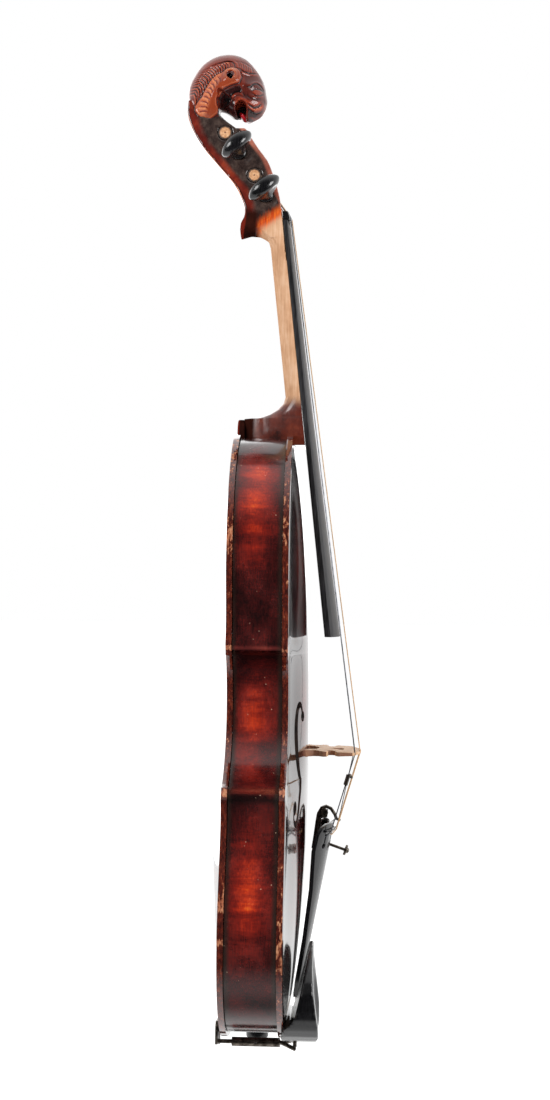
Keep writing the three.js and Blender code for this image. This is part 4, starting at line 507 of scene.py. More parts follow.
@dataclass(frozen=True)
class NeckFinish:
    """Bare maple on the neck, varnish on heel and pegbox, wear and painted shade and highlight on the carved head.

    Attributes:
        name: Name of the finish.
        back_line: Height and x of the pegbox's back edge.
        front_line: Height and x of its front edge.
        lean: Share of a distance across the pegbox's edges that runs square to them.
        slant: Fall of the varnish's border across the neck.
    """

    name: str = "neck_maple"
    back_line: Line = (
        (476.0, -31.2), (490.5, -28.6), (501.6, -31.2), (509.0, -35.6), (516.4, -41.9), (523.8, -48.1), (531.2, -54.4),
        (538.6, -59.4), (546.0, -62.8), (553.0, -65.0),
    )  # fmt: skip
    front_line: Line = (
        (476.0, 0.0), (490.5, 0.0), (497.9, -4.7), (505.0, -8.2), (516.4, -12.2), (523.8, -15.4), (531.2, -21.0),
        (538.6, -26.7), (542.3, -28.4), (546.0, -34.0), (551.0, -39.0),
    )  # fmt: skip
    reach: Pair = (-70.0, 5.0)
    lean: float = 0.78
    slant: float = -0.76

    def make(self) -> bpy.types.Material:
        """Builds the material.

        Returns:
            The finished material.
        """
        sheet = Sheet(self.name)
        across, _, height = sheet.axes()
        clouds = sheet.noise((80.0, 80.0, 60.0), 4.0, 0.65)
        fibres = sheet.noise((900.0, 900.0, 60.0), 2.0, 0.5)
        grime = sheet.noise(190.0, 4.0, 0.7)
        from_back = (across - sheet.curve(height, self.back_line, *self.reach)) * self.lean
        from_front = (sheet.curve(height, self.front_line, *self.reach) - across) * self.lean
        wavy = clouds * 7.0 + height
        slanted = (across + 5.0) * self.slant + wavy
        streaks = fibres * 6.0 + slanted
        bare = sheet.ramp(
            fibres * 0.45 + clouds * 0.55, (0.3, (172, 126, 92)), (0.5, (204, 160, 126)), (0.7, (222, 186, 156))
        )
        heel = sheet.ramp(clouds, (0.3, (46, 17, 13)), (0.5, (92, 34, 22)), (0.7, (128, 58, 38)))
        glow = sheet.ramp(fibres, (0.35, (176, 54, 14)), (0.65, (226, 104, 32)))
        colour = sheet.mix(sheet.spread(wavy, 376.0, 384.0), heel, bare)
        colour = sheet.mix(sheet.spread(streaks, 494.0, 500.5), colour, glow)
        box = self.pegbox(sheet, clouds, grime, from_back, from_front)
        colour = sheet.mix(sheet.spread(streaks, 501.0, 507.0), colour, box)
        # Painted shade: the underside of the chin is darkened, with a red varnished edge along its back.
        chin = sheet.spread(across, -18.0, -22.5) * sheet.spread(height, 496.0, 490.0)
        under = sheet.ramp(clouds, (0.3, (22, 10, 9)), (0.7, (54, 24, 17)))
        colour = sheet.mix(chin, colour, sheet.mix(sheet.spread(from_back, 1.1, 0.4), under, (104, 32, 22)))
        carved, lock = sheet.attribute("head"), sheet.attribute("glow")
        colour = sheet.mix(carved, colour, self.head(sheet, clouds))
        colour = sheet.mix(lock * 0.75, colour, (124, 33, 10))
        grip = sheet.spread(wavy, 372.0, 384.0) * sheet.spread(slanted, 501.0, 495.0)
        sheet.relief(sheet.noise((700.0, 700.0, 240.0), 3.0, 0.6), 0.0002, 0.3)
        shine = sheet.maths("SUBTRACT", 1.0, sheet.maths("MAXIMUM", grip, chin), clamp=True)
        thick = carved * -0.5 + 0.9 + lock * -0.2
        sheet.fill(sheet.shader, Coat_Weight=shine * thick, Specular_IOR_Level=shine * 0.4)
        return sheet.finish(colour, grip * 0.3 + grime * 0.14 + 0.12, Coat_Roughness=0.08)

    @staticmethod
    def pegbox(sheet: Sheet, clouds: Value, grime: Value, from_back: Value, from_front: Value) -> Socket:
        """Colour of the pegbox: dark cheeks, red towards the back, rubbed edges and a painted highlight line.

        Args:
            sheet: The material.
            clouds: Broad pattern.
            grime: Fine pattern.
            from_back: Distance from the back edge.
            from_front: Distance from the front edge.

        Returns:
            The colour.
        """
        dark = sheet.ramp(grime, (0.3, (36, 26, 24)), (0.5, (58, 45, 41)), (0.72, (92, 76, 68)))
        red = sheet.ramp(clouds, (0.3, (76, 20, 16)), (0.5, (112, 32, 21)), (0.7, (150, 58, 35)))
        pale = sheet.ramp(clouds, (0.3, (134, 64, 52)), (0.7, (190, 118, 96)))
        box = sheet.mix(sheet.spread(grime * 1.8 + from_back, 3.8, 7.4), red, dark)
        box = sheet.mix(sheet.spread(from_front, 3.2, 1.5), box, pale)
        box = sheet.mix(sheet.hill(from_back, 1.0, 0.3), box, (40, 14, 12))
        _, sideways, _ = sheet.facing()
        # A pale line on the cheeks along the back edge, partly wear and partly a painted highlight.
        worn_edge_and_highlight = sheet.spread(from_back, 0.75, 0.3) * sheet.spread(clouds, 0.4, 0.55, (0.3, 0.9))
        return sheet.mix(worn_edge_and_highlight * sheet.spread(abs(sideways), 0.12, 0.4), box, (206, 122, 74))

    @staticmethod
    def head(sheet: Sheet, clouds: Value) -> Socket:
        """Colour of the carved head, with painted shade in its cuts and painted highlights on its ridges."""
        return sheet.ramp(
            sheet.attribute("carved") + clouds * 0.3 - 0.15, (0.0, (14, 7, 9)), (0.26, (48, 18, 18)),
            (0.5, (110, 37, 24)), (0.72, (158, 60, 32)), (0.95, (210, 122, 76)),
        )  # fmt: skip


@dataclass(frozen=True)
class DarkWood:
    """Polished or rubbed ebony."""

    name: str
    dark: Colour
    light: Colour
    rough: float
    coat: float

    def make(self) -> bpy.types.Material:
        """Builds the material.

        Returns:
            The finished material.
        """
        sheet = Sheet(self.name)
        pores = sheet.spread(sheet.noise((1400.0, 1400.0, 70.0), 3.0, 0.6), 0.3, 0.75)
        clouds = sheet.noise((50.0, 50.0, 22.0), 4.0, 0.6)
        colour = sheet.ramp(pores * 0.6 + clouds * 0.8 - 0.2, (0.2, self.dark), (0.85, self.light))
        sheet.relief(pores, 0.00008, 0.4)
        return sheet.finish(colour, pores * 0.08 + self.rough, Coat_Weight=self.coat, Coat_Roughness=0.08)


@dataclass(frozen=True)
class PlainWood:
    """Bare wood with its fibres along one direction, if wanted with darker sides as painted shade."""

    name: str
    dark: Colour
    middle: Colour
    light: Colour
    rough: float
    grain: Place = (900.0, 900.0, 60.0)
    side: Colour | None = None

    def make(self) -> bpy.types.Material:
        """Builds the material.

        Returns:
            The finished material.
        """
        sheet = Sheet(self.name)
        fibres = sheet.noise(self.grain, 3.0, 0.6)
        share = fibres * 0.6 + sheet.noise(120.0, 3.0, 0.6) * 0.4
        colour = sheet.ramp(share, (0.3, self.dark), (0.5, self.middle), (0.7, self.light))
        if self.side:
            # Painted shade: faces turned towards bass and treble take the darker side colour.
            _, outward, _ = sheet.facing()
            colour = sheet.mix(sheet.spread(abs(outward), 0.3, 0.8) * 0.85, colour, self.side)
        sheet.relief(fibres, 0.00012, 0.5)
        return sheet.finish(colour, fibres * 0.15 + self.rough)


@dataclass(frozen=True)
class BushingWood:
    """Pale bushing, grimed and varnished over round its rim."""

    name: str = "boxwood"

    def make(self) -> bpy.types.Material:
        """Builds the material.

        Returns:
            The finished material.
        """
        sheet = Sheet(self.name)
        clouds = sheet.noise(700.0, 3.0, 0.6)
        off = sheet.attribute("off_axis") + clouds * 1.2 - 0.6
        colour = sheet.ramp(clouds, (0.3, (178, 120, 78)), (0.5, (214, 160, 114)), (0.7, (232, 190, 148)))
        for low, high, ring in ((2.9, 3.6, (104, 72, 50)), (3.5, 4.0, (56, 45, 40)), (0.75, 0.35, (110, 52, 30))):
            colour = sheet.mix(sheet.spread(off, low, high), colour, ring)
        sheet.relief(clouds, 0.0002, 0.5)
        return sheet.finish(colour, clouds * 0.15 + 0.4)


@dataclass(frozen=True)
class Metal:
    """Worn plated or plain metal."""

    name: str
    dull: Colour
    bright: Colour
    rough: float

    def make(self) -> bpy.types.Material:
        """Builds the material.

        Returns:
            The finished material.
        """
        sheet = Sheet(self.name)
        tarnish = sheet.noise(350.0, 4.0, 0.65)
        colour = sheet.ramp(tarnish, (0.35, self.dull), (0.65, self.bright))
        sheet.relief(sheet.noise(1800.0, 2.0), 0.00005, 0.3)
        return sheet.finish(colour, tarnish * 0.25 + self.rough, Metallic=1.0)


@dataclass(frozen=True)
class Coated:
    """Gut, nylon or glossy paint: two tones in a fine pattern.

    Attributes:
        name: Name of the finish.
        dark: Darker tone.
        light: Lighter tone.
        rough: Least roughness.
        pattern: Scale, detail and roughness of the pattern.
        depth: Depth of its relief in metres.
        strength: How strongly that shows.
        coat: Weight of the clear coat.
    """

    name: str
    dark: Colour
    light: Colour
    rough: float
    pattern: tuple[float | Place, float, float] = ((2600.0, 2600.0, 1500.0), 2.0, 0.5)
    depth: float = 0.00004
    strength: float = 0.5
    coat: float = 0.15

    def make(self) -> bpy.types.Material:
        """Builds the material.

        Returns:
            The finished material.
        """
        sheet = Sheet(self.name)
        tones = sheet.noise(*self.pattern)
        colour = sheet.ramp(tones, (0.35, self.dark), (0.65, self.light))
        sheet.relief(tones, self.depth, self.strength)
        return sheet.finish(colour, tones * 0.1 + self.rough, Coat_Weight=self.coat)


@dataclass(frozen=True)
class CorkPad:
    """Pressed cork with dark grains."""

    name: str = "cork_pad"

    def make(self) -> bpy.types.Material:
        """Builds the material.

        Returns:
            The finished material.
        """
        sheet = Sheet(self.name)
        clouds = sheet.noise(500.0, 3.0, 0.6)
        colour = sheet.ramp(clouds, (0.3, (44, 36, 32)), (0.7, (84, 66, 54)))
        colour = sheet.mix(sheet.dots(900.0, 0.42) * 0.5, colour, (26, 20, 18))
        sheet.relief(clouds, 0.0003, 0.6)
        return sheet.finish(colour, clouds * 0.1 + 0.8)


def deselect() -> None:
    """Leaves edit mode and deselects everything."""
    if bpy.context.object is not None and bpy.context.object.mode != "OBJECT":
        bpy.ops.object.mode_set(mode="OBJECT")
    bpy.ops.object.select_all(action="DESELECT")


def activate(piece: Piece) -> None:
    """Makes one object the only selected and active one.

    Args:
        piece: The piece.
    """
    deselect()
    piece.select_set(True)
    bpy.context.view_layer.objects.active = piece


@contextmanager
def editing(piece: Piece) -> Iterator[None]:
    """Opens a piece in edit mode with all of it selected, and closes it afterwards.

    Args:
        piece: The piece.

    Yields:
        Nothing, once the piece is open.
    """
    activate(piece)
    bpy.ops.object.mode_set(mode="EDIT")
    bpy.ops.mesh.select_all(action="SELECT")
    yield
    bpy.ops.object.mode_set(mode="OBJECT")


def face_outwards() -> None:
    """Turns every face of the piece in edit mode outwards."""
    bpy.ops.mesh.select_all(action="SELECT")
    bpy.ops.mesh.normals_make_consistent(inside=False)


def modify(piece: Piece, kind: str, **settings: object) -> None:
    """Adds a modifier to a piece, sets it and applies it.

    Args:
        piece: The piece.
        kind: Kind of modifier.
        **settings: Its properties by name.
    """
    modifier = piece.modifiers.new(kind.lower(), kind)
    for name, value in settings.items():
        setattr(modifier, name, value)
    activate(piece)
    bpy.ops.object.modifier_apply(modifier=modifier.name)


def soften(piece: Piece, width: float, segments: int = 2, degrees: float = 35.0) -> None:
    """Rounds a piece's sharp edges.

    Args:
        piece: The piece.
        width: Width of the rounding in millimetres.
        segments: Steps of the rounding.
        degrees: Edges sharper than this are rounded.
    """
    limit = {"limit_method": "ANGLE", "angle_limit": math.radians(degrees)}
    modify(piece, "BEVEL", width=width * MM, segments=segments, **limit)


def remesh(piece: Piece, size: float) -> None:
    """Gives a closed piece an even mesh with a step in millimetres."""
    modify(piece, "REMESH", mode="VOXEL", voxel_size=size * MM)


def relax(piece: Piece, times: int) -> None:
    """Smooths a piece's surface a number of times."""
    modify(piece, "SMOOTH", factor=0.5, iterations=times)


def combine(piece: Piece, other: Piece, operation: str) -> None:
    """Joins another solid to a piece or cuts it out, and removes that solid."""
    modify(piece, "BOOLEAN", operation=operation, solver="EXACT", object=other)
    bpy.data.objects.remove(other)


def join(piece: Piece, *others: Piece) -> None:
    """Makes other pieces part of a piece.

    Args:
        piece: The piece that stays.
        *others: What becomes part of it.
    """
    activate(piece)
    for other in others:
        other.select_set(True)
    bpy.ops.object.join()


def smooth(piece: Piece, degrees: float) -> None:
    """Shades a piece smoothly except over edges sharper than an angle."""
    activate(piece)
    bpy.ops.object.shade_smooth_by_angle(angle=math.radians(degrees))


def points_of(piece: Piece) -> np.ndarray:
    """Points of a piece as they are stored, one row each.

    Args:
        piece: The piece.

    Returns:
        The points in metres.
    """
    co = np.zeros(len(piece.data.vertices) * 3, np.float32)
    piece.data.vertices.foreach_get("co", co)
    return co.reshape(-1, 3).astype(float)


def places_of(piece: Piece) -> np.ndarray:
    """Points of a piece in the body's millimetres, one row each."""
    return points_of(piece) / MM - np.array(ORIGIN)


def put_places(piece: Piece, places: np.ndarray) -> None:
    """Moves the points of a piece to places in the body's millimetres.

    Args:
        piece: The piece.
        places: One row for each point.
    """
    co = ((places + np.array(ORIGIN)) * MM).astype(np.float32)
    piece.data.vertices.foreach_set("co", co.ravel())
    piece.data.update()


def keep(piece: Piece, name: str, values: np.ndarray) -> None:
    """Keeps a number for each point on the piece."""
    layer = piece.data.attributes.get(name) or piece.data.attributes.new(name, "FLOAT", "POINT")
    layer.data.foreach_set("value", values.astype(np.float32))


def grid(name: str, places: np.ndarray) -> Piece:
    """Adds a flat grid and bends it to places given by row and column, in the body's millimetres.

    Args:
        name: Name of the new piece.
        places: Where each point goes.

    Returns:
        The new piece.
    """
    rows, columns = places.shape[:2]
    deselect()
    bpy.ops.mesh.primitive_grid_add(x_subdivisions=columns - 1, y_subdivisions=rows - 1, size=2.0)
    piece = bpy.context.object
    piece.name = piece.data.name = name
    flat = (points_of(piece) + 1) / 2
    column, row = (np.rint(flat[:, k] * (count - 1)).astype(int) for k, count in ((0, columns), (1, rows)))
    put_places(piece, places[row, column])
    return piece


def bent_grid(name: str, places: np.ndarray, closed: bool = True) -> Piece:
    """Bends a grid into a shape whose seams are joined.

    Args:
        name: Name of the new piece.
        places: Where each point goes, by row and column, in the body's millimetres.
        closed: Whether open ends are filled, so that the piece is solid.

    Returns:
        The new piece.
    """
    piece = grid(name, places)
    with editing(piece):
        bpy.ops.mesh.remove_doubles(threshold=MERGE)
        if closed:
            bpy.ops.mesh.select_all(action="DESELECT")
            bpy.ops.mesh.select_mode(type="EDGE")
            bpy.ops.mesh.select_non_manifold()
            bpy.ops.mesh.edge_face_add()
            bpy.ops.mesh.select_mode(type="VERT")
        face_outwards()
    return piece


def prism(outline: Sequence[Sequence[float]], run: Place) -> Piece:
    """Solid made of a flat outline that is drawn out.

    Args:
        outline: Its corners in the body's millimetres.
        run: How far it is drawn out along x, y and z, in millimetres.

    Returns:
        The solid.
    """
    deselect()
    bpy.ops.mesh.primitive_circle_add(vertices=len(outline), radius=1.0, fill_type="NGON")
    piece = bpy.context.object
    put_places(piece, np.array(outline, float))
    with editing(piece):
        bpy.ops.mesh.extrude_region_move(TRANSFORM_OT_translate={"value": [part * MM for part in run]})
        face_outwards()
    return piece


def block(place: Place, size: Place) -> Piece:
    """Box with its middle at a place and three side lengths, in the body's millimetres.

    Args:
        place: Its middle.
        size: Its side lengths.

    Returns:
        The box.
    """
    deselect()
    bpy.ops.mesh.primitive_cube_add(size=1.0, location=at(*place))
    piece = bpy.context.object
    piece.scale = [part * MM for part in size]
    bpy.ops.object.transform_apply(location=True, rotation=True, scale=True)
    return piece


FINISHES = (
    RibVarnish(),
    PlateVarnish(
        PlateKind.BELLY, "belly_varnish", ((296.0, 19.0, 0.9), (66.0, 26.0, 0.75), (229.0, 1.8, 1.4), (151.0, 1.8, 1.6))
    ),
    PlateVarnish(
        PlateKind.BACK,
        "back_varnish",
        (
            (342.0, 9.0, 0.7), (293.0, 11.0, 1.2), (91.0, 7.0, 1.2), (71.5, 3.5, 1.3), (230.4, 1.5, 2.4),
            (150.4, 1.7, 2.6),
        ),
    ),
    NeckFinish(),
    DarkWood("ebony", (9, 9, 11), (26, 25, 28), 0.16, 0.5),
    DarkWood("fingerboard_ebony", (15, 15, 17), (48, 46, 49), 0.34, 0.08),
    # The bridge's darker side colour is painted shade.
    PlainWood(
        "bridge_maple", (168, 122, 84), (214, 170, 130), (238, 204, 170), 0.5, (60.0, 900.0, 900.0), (112, 62, 40)
    ),
    PlainWood("inner_spruce", (176, 138, 92), (208, 172, 124), (226, 196, 150), 0.7),
    BushingWood(),
    Coated("gut", (196, 152, 104), (232, 194, 150), 0.4),
    Coated("tailgut_cord", (206, 198, 186), (240, 236, 228), 0.35),
    Metal("string_steel", (70, 72, 78), (150, 152, 158), 0.3),
    Metal("nickel", (52, 45, 40), (138, 129, 119), 0.22),
    CorkPad(),
    Coated("tongue_red", (150, 12, 22), (214, 38, 50), 0.22, (600.0, 3.0, 0.6), 0.00015, 0.4, 0.5),
)  # fmt: skip


def set_out(name: str, data: bpy.types.ID) -> Piece:
    """Puts a mesh, camera or lamp into the scene under a name.

    Args:
        name: Name of the new object.
        data: What it shows.

    Returns:
        The new object.
    """
    made = bpy.data.objects.new(name, data)
    bpy.context.scene.collection.objects.link(made)
    return made


class Workshop:
    """The frame, the finishes, and the way a finished piece is handed over."""

    def __init__(self, frame: dict) -> None:
        """Keeps the frame's nodes and makes each finish once.
        """
        self.nodes: dict[str, Piece] = frame["nodes"]
        self.looks = {finish.name: finish.make() for finish in FINISHES}
        LOG.info("%d finishes made", len(self.looks))

    def body_of(self, node: str) -> str:
        """Name of the body that a CAD node rides on."""
        return self.nodes[node]["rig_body"]

    def dress(self, piece: Piece, look: str) -> None:
        """Gives a piece one of the finishes.

        Args:
            piece: The piece.
            look: Name of the finish.
        """
        piece.data.materials.clear()
        piece.data.materials.append(self.looks[look])

    def hand_over(self, piece: Piece, look: str, *nodes: str) -> Piece:
        """Dresses a finished piece, puts it on its body and lets it stand for CAD nodes.

        Args:
            piece: The finished piece.
            look: Name of its finish.
            *nodes: CAD nodes it stands for; the first one gives the body.

        Returns:
            The piece.
        """
        self.dress(piece, look)
        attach(piece, self.body_of(nodes[0]))
        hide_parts(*nodes)
        LOG.info("%s: %d faces, stands for %s", piece.name, len(piece.data.polygons), ", ".join(nodes))
        return piece

    def add(self, piece: Piece, look: str, slot: str, node: str) -> None:
        """Dresses a piece that stands for no CAD node and lets it ride with one.

        Args:
            piece: The finished piece.
            look: Name of its finish.
            slot: Not used.
            node: CAD node that gives the body.
        """
        self.dress(piece, look)
        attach(piece, self.body_of(node))
        LOG.info("%s: %d faces, rides with %s", piece.name, len(piece.data.polygons), node)

    def copy_of(self, node: str, name: str) -> Piece:
        """A new piece at the origin with the merged mesh of a CAD node.

        Args:
            node: Name of the CAD node.
            name: Name of the new piece.

        Returns:
            The new piece.
        """
        mesh = self.nodes[node].data.copy()
        mesh.name = name
        piece = set_out(name, mesh)
        for key in list(piece.keys()):
            del piece[key]
        with editing(piece):
            bpy.ops.mesh.remove_doubles(threshold=MERGE)
            bpy.ops.mesh.customdata_custom_splitnormals_clear()
            bpy.ops.mesh.mark_sharp(clear=True)
        return piece

    def refine(self, node: str, look: str, rounding: float, degrees: float = 32.0) -> Piece:
        """Copies a CAD node, rounds its edges, smooths it and hands it over.

        Args:
            node: Name of the CAD node.
            look: Name of its finish.
            rounding: Width of the rounded edges in millimetres, or 0 for none.
            degrees: Edges sharper than this stay edges.

        Returns:
            The new piece.
        """
        piece = self.copy_of(node, f"{node}_finished")
        if rounding > 0:
            soften(piece, rounding, 2, degrees)
        smooth(piece, degrees)
        return self.hand_over(piece, look, node)


@dataclass
class Studio:
    """Camera, floor, lamps and surroundings."""

    target: Place = (-7.87, 0.0, 287.05)
    distance: float = 1000.0
    azimuth: float = 2.44
    elevation: float = -1.08
    roll: float = 0.76
    focal_pixels: float = 1637.67
    picture_height: float = 1100.0
    floor_drop: float = 118.0
    lamp_target: Place = (-10.0, 0.0, 290.0)

    def camera(self) -> None:
        """Places the camera at the photograph's viewing angle."""
        data = bpy.data.cameras.new("photograph_camera")
        data.sensor_width = 36.0
        data.lens = data.sensor_width * self.focal_pixels / self.picture_height
        data.clip_start, data.clip_end = 0.01, 50.0
        camera = set_out("photograph_camera", data)
        turn, lift, roll = (math.radians(angle) for angle in (self.azimuth, self.elevation, self.roll))
        back = Vector((math.sin(turn) * math.cos(lift), -math.cos(turn) * math.cos(lift), math.sin(lift)))
        right = (-back).cross(Vector((0, 0, 1))).normalized()
        up = right.cross(-back)
        rolled = (right * math.cos(roll) + up * math.sin(roll), up * math.cos(roll) - right * math.sin(roll))
        pose = Matrix((*rolled, back)).transposed().to_4x4()
        pose.translation = at(*self.target) + back * self.distance * MM
        camera.matrix_world = pose
        bpy.context.scene.camera = camera

    @staticmethod
    def surroundings() -> None:
        """A white room, a little darker towards the camera's side."""
        world = bpy.data.worlds.new("white_room")
        bpy.context.scene.world = world
        world.use_nodes = True
        room = Nodes(world.node_tree)
        output = room.node("OutputWorld")
        path = room.node("LightPath").outputs
        _, along, upright = room.split(room.node("TexCoord").outputs["Generated"])
        fade = room.spread(abs(upright) * 0.45 + along, -0.75, 0.32, (0.04, 1.0))
        soft, mirrored, seen = (room.node("Background", WHITE, strength) for strength in (0.72, fade, 1.0))
        unseen = room.node("MixShader", path["Is Glossy Ray"], soft, mirrored)
        clear = room.maths("MAXIMUM", path["Is Camera Ray"], path["Is Transmission Ray"])
        room.feed(output.inputs["Surface"], room.node("MixShader", clear, unseen, seen))

    def floor(self) -> None:
        """A wide pale floor under the hanging violin, which keeps its shadow."""
        deselect()
        below = at(0, 0, -self.floor_drop)
        bpy.ops.mesh.primitive_circle_add(vertices=96, radius=14.0, fill_type="NGON", location=below)
        ground = bpy.context.object
        ground.name = "studio_floor"
        sheet = Sheet("studio_floor")
        _, towards_camera, _ = sheet.axes()
        colour = sheet.ramp(sheet.noise(6.0, 2.0), (0.3, (244, 244, 245)), (0.7, (248, 248, 248)))
        sheet.finish(colour, 0.9)
        path = sheet.node("LightPath").outputs
        seen = sheet.maths("MAXIMUM", path["Is Camera Ray"], path["Is Transmission Ray"])
        lit = sheet.node("AddShader", sheet.shader, sheet.node("Emission", WHITE, 0.35))
        unmirrored = sheet.node("MixShader", seen, sheet.shader, lit)
        mirrored = sheet.node("Emission", WHITE, sheet.spread(towards_camera, -330.0, -100.0, (0.03, 0.9)))
        last = sheet.node("MixShader", path["Is Glossy Ray"], unmirrored, mirrored)
        sheet.feed(sheet.output.inputs["Surface"], last)
        ground.data.materials.append(sheet.material)

    def lamps(self) -> None:
        """Soft lamps on both sides in front and one behind."""
        for name, place, size, power in (
            ("left_softbox", (-640.0, -560.0, 620.0), 0.42, 3.4),
            ("right_softbox", (700.0, -480.0, 470.0), 0.42, 3.8),
            ("back_softbox", (-300.0, 900.0, 500.0), 1.2, 4.0),
        ):
            data = bpy.data.lights.new(name, "AREA")
            data.shape, data.size, data.energy = "DISK", size, power
            lamp = set_out(name, data)
            lamp.location = at(*place)
            lamp.rotation_mode = "QUATERNION"
            lamp.rotation_quaternion = (at(*self.lamp_target) - at(*place)).to_track_quat("-Z", "Y")

    def build(self) -> None:
        """Sets up the whole studio."""
        bpy.context.scene.view_settings.view_transform = "Standard"
        self.camera()
        self.surroundings()
        self.floor()
        self.lamps()
        LOG.info("studio ready")


def nearest(points: np.ndarray, line: Sequence[Pair] | np.ndarray) -> tuple[np.ndarray, np.ndarray]:
    """Distance from points to a line, and how far along it the nearest place is.

    Args:
        points: Two numbers for each point, in rows.
        line: The line's points.

    Returns:
        The distances and the shares of the line's length.
    """
    nodes = np.array(line, float)
    runs = np.diff(nodes, axis=0)
    lengths = np.hypot(*runs.T)
    before = np.cumsum(lengths) - lengths
    offsets = points[:, None] - nodes[:-1]
    share = np.clip((offsets * runs).sum(-1) / lengths**2, 0, 1)
    away = np.sqrt(((offsets - share[..., None] * runs) ** 2).sum(-1))
    row, near = np.arange(len(points)), away.argmin(1)
    return away[row, near], ((before + share * lengths) / lengths.sum())[row, near]


def within(points: np.ndarray, outline: Line) -> np.ndarray:
    """Distance of points from an outline, positive inside it.

    Args:
        points: Two numbers for each point, in rows.
        outline: The outline's corners.

    Returns:
        The distances.
    """
    closed = (*outline, outline[0])
    x, z = points.T
    inside = np.zeros(len(points), bool)
    for (x0, z0), (x1, z1) in zip(closed[:-1], closed[1:]):
        if z0 != z1:
            inside ^= ((z0 > z) != (z1 > z)) & (x < (x1 - x0) * (z - z0) / (z1 - z0) + x0)
    away, _ = nearest(points, closed)
    return np.where(inside, away, -away)


@dataclass
class SoundBox:
    """Belly, back, ribs, blocks and what is glued inside them."""

    length: float = 356.0
    lower_half: float = 104.0
    waist_half: float = 56.0
    upper_half: float = 84.0
    lower_corner_half: float = 92.5
    upper_corner_half: float = 77.5
    lower_bout: float = 72.0
    lower_corner: float = 149.8
    waist: float = 190.0
    upper_corner: float = 229.1
    upper_bout: float = 283.0
    corner_width: float = 6.4
    edge: float = 3.3
    belly_arch: float = 14.2
    back_arch: float = 13.7
    border: float = 8.0
    end_land: float = 20.0
    button_half: float = 9.6
    button_rise: float = 10.4
    rib_low: float = 29.5
    rib_high: float = 28.0
    fit: float = 0.3
    channel: float = 0.55
    channel_place: Pair = (4.9, 2.6)  # distance from the edge and reach
    rim_round: float = 1.25
    rib_insets: Place = (2.6, 3.8, 5.8)  # outer face, inner face and lining
    lining_height: float = 7.0
    steps: int = 3
    hole_corner: Pair = (25.0, 137.5)
    hole_size: Pair = (30.5, 50.5)
    hole_eyes: tuple[Place, ...] = ((25.0, 188.0, 3.1), (55.5, 137.5, 4.1))
    hole_depth: float = 24.0
    notches: tuple[tuple[Place, Place], ...] = (
        ((4.0, 0.0, 0.0), (20.0, 35.6, 13.4)),  # where the saddle sits
        ((4.0, 0.0, 356.0), (20.0, 33.4, 12.6)),  # where the neck's root stands
    )
    hole_stroke: Line = (
        (-0.013, 1.032), (0.026, 1.107), (0.118, 1.170), (0.243, 1.178), (0.348, 1.123), (0.433, 0.992),
        (0.525, 0.762), (0.610, 0.505), (0.675, 0.267), (0.734, 0.069), (0.793, -0.057), (0.866, -0.129),
        (0.951, -0.152), (1.023, -0.117), (1.049, -0.059), (1.102, -0.030), (1.115, -0.117), (1.036, -0.196),
        (0.905, -0.230), (0.767, -0.196), (0.649, -0.101), (0.551, 0.057), (0.466, 0.267), (0.407, 0.505),
        (0.334, 0.743), (0.275, 0.960), (0.230, 1.063), (0.170, 1.107), (0.111, 1.091), (0.052, 1.024),
    )  # fmt: skip

    def __post_init__(self) -> None:
        """Draws the outline once."""
        self.line = self.outline()

    @staticmethod
    def bend(handles: Sequence[Pair], steps: int) -> np.ndarray:
        """Points along a curve from its start, its two handles and its end.

        Args:
            handles: Start, both handles and end.
            steps: Number of steps.

        Returns:
            The points as rows.
        """
        t = np.linspace(0, 1, steps + 1)[:, None]
        a, b, c, d = np.array(handles, float)
        return a * (1 - t) ** 3 + 3 * b * t * (1 - t) ** 2 + 3 * c * t**2 * (1 - t) + d * t**3

    def outline(self) -> np.ndarray:
        """Half width and height of the body's edge, from the bottom up.

        Returns:
            The points as rows.
        """
        low, thin, high, top = self.lower_half, self.waist_half, self.upper_half, self.length
        corner, end = self.corner_width / 2, self.lower_half * 0.16
        wide, middle, broad = (low, self.lower_bout), (thin, self.waist), (high, self.upper_bout)
        flank, climb = self.lower_corner - self.lower_bout, self.upper_bout - self.upper_corner
        low_x, low_z = self.lower_corner_half - corner, self.lower_corner + corner
        high_x, high_z = self.upper_corner_half - corner, self.upper_corner - corner
        tip = (self.upper_corner_half, self.upper_corner + corner)
        curves = (
            (9, (end, 0), (low * 0.62, 0), (low, self.lower_bout * 0.4), wide),
            (
                6, wide, (low, self.lower_bout + flank * 0.42), (low * 0.8, self.lower_bout + flank * 0.68),
                (self.lower_corner_half, self.lower_corner - corner),
            ),
            (
                6, (low_x, low_z), (low_x - (low_x - thin) * 0.38, low_z + self.fit),
                (thin, self.waist - (self.waist - self.lower_corner) * 0.42), middle,
            ),
            (
                6, middle, (thin, self.waist + (self.upper_corner - self.waist) * 0.45),
                (high_x - (high_x - thin) * 0.42, high_z - self.fit), (high_x, high_z),
            ),
            (5, tip, (tip[0] * 0.92, tip[1] + climb * 0.32), (high, self.upper_bout - climb * 0.4), broad),
            (9, broad, (high, self.upper_bout + (top - self.upper_bout) * 0.68), (high * 0.5, top), (end, top)),
        )  # fmt: skip
        bends = (self.bend(handles, steps * self.steps) for steps, *handles in curves)
        return np.vstack([points[k % 2 :] for k, points in enumerate(bends)])

    def half(self, z: np.ndarray) -> np.ndarray:
        """Half width of the body at heights."""
        return np.interp(z, self.line[:, 1], self.line[:, 0])

    def rib_height(self, z: np.ndarray) -> np.ndarray:
        """Height of the ribs, from belly to back, along the body."""
        return self.rib_low + (self.rib_high - self.rib_low) * z / self.length

    def rim_distance(self, y: np.ndarray, z: np.ndarray) -> np.ndarray:
        """Distance in millimetres of places on a plate from its edge."""
        closed = np.vstack([[[0, 0]], self.line, [[0, self.length]]])
        return nearest(np.stack([np.abs(y), z], -1), closed)[0]

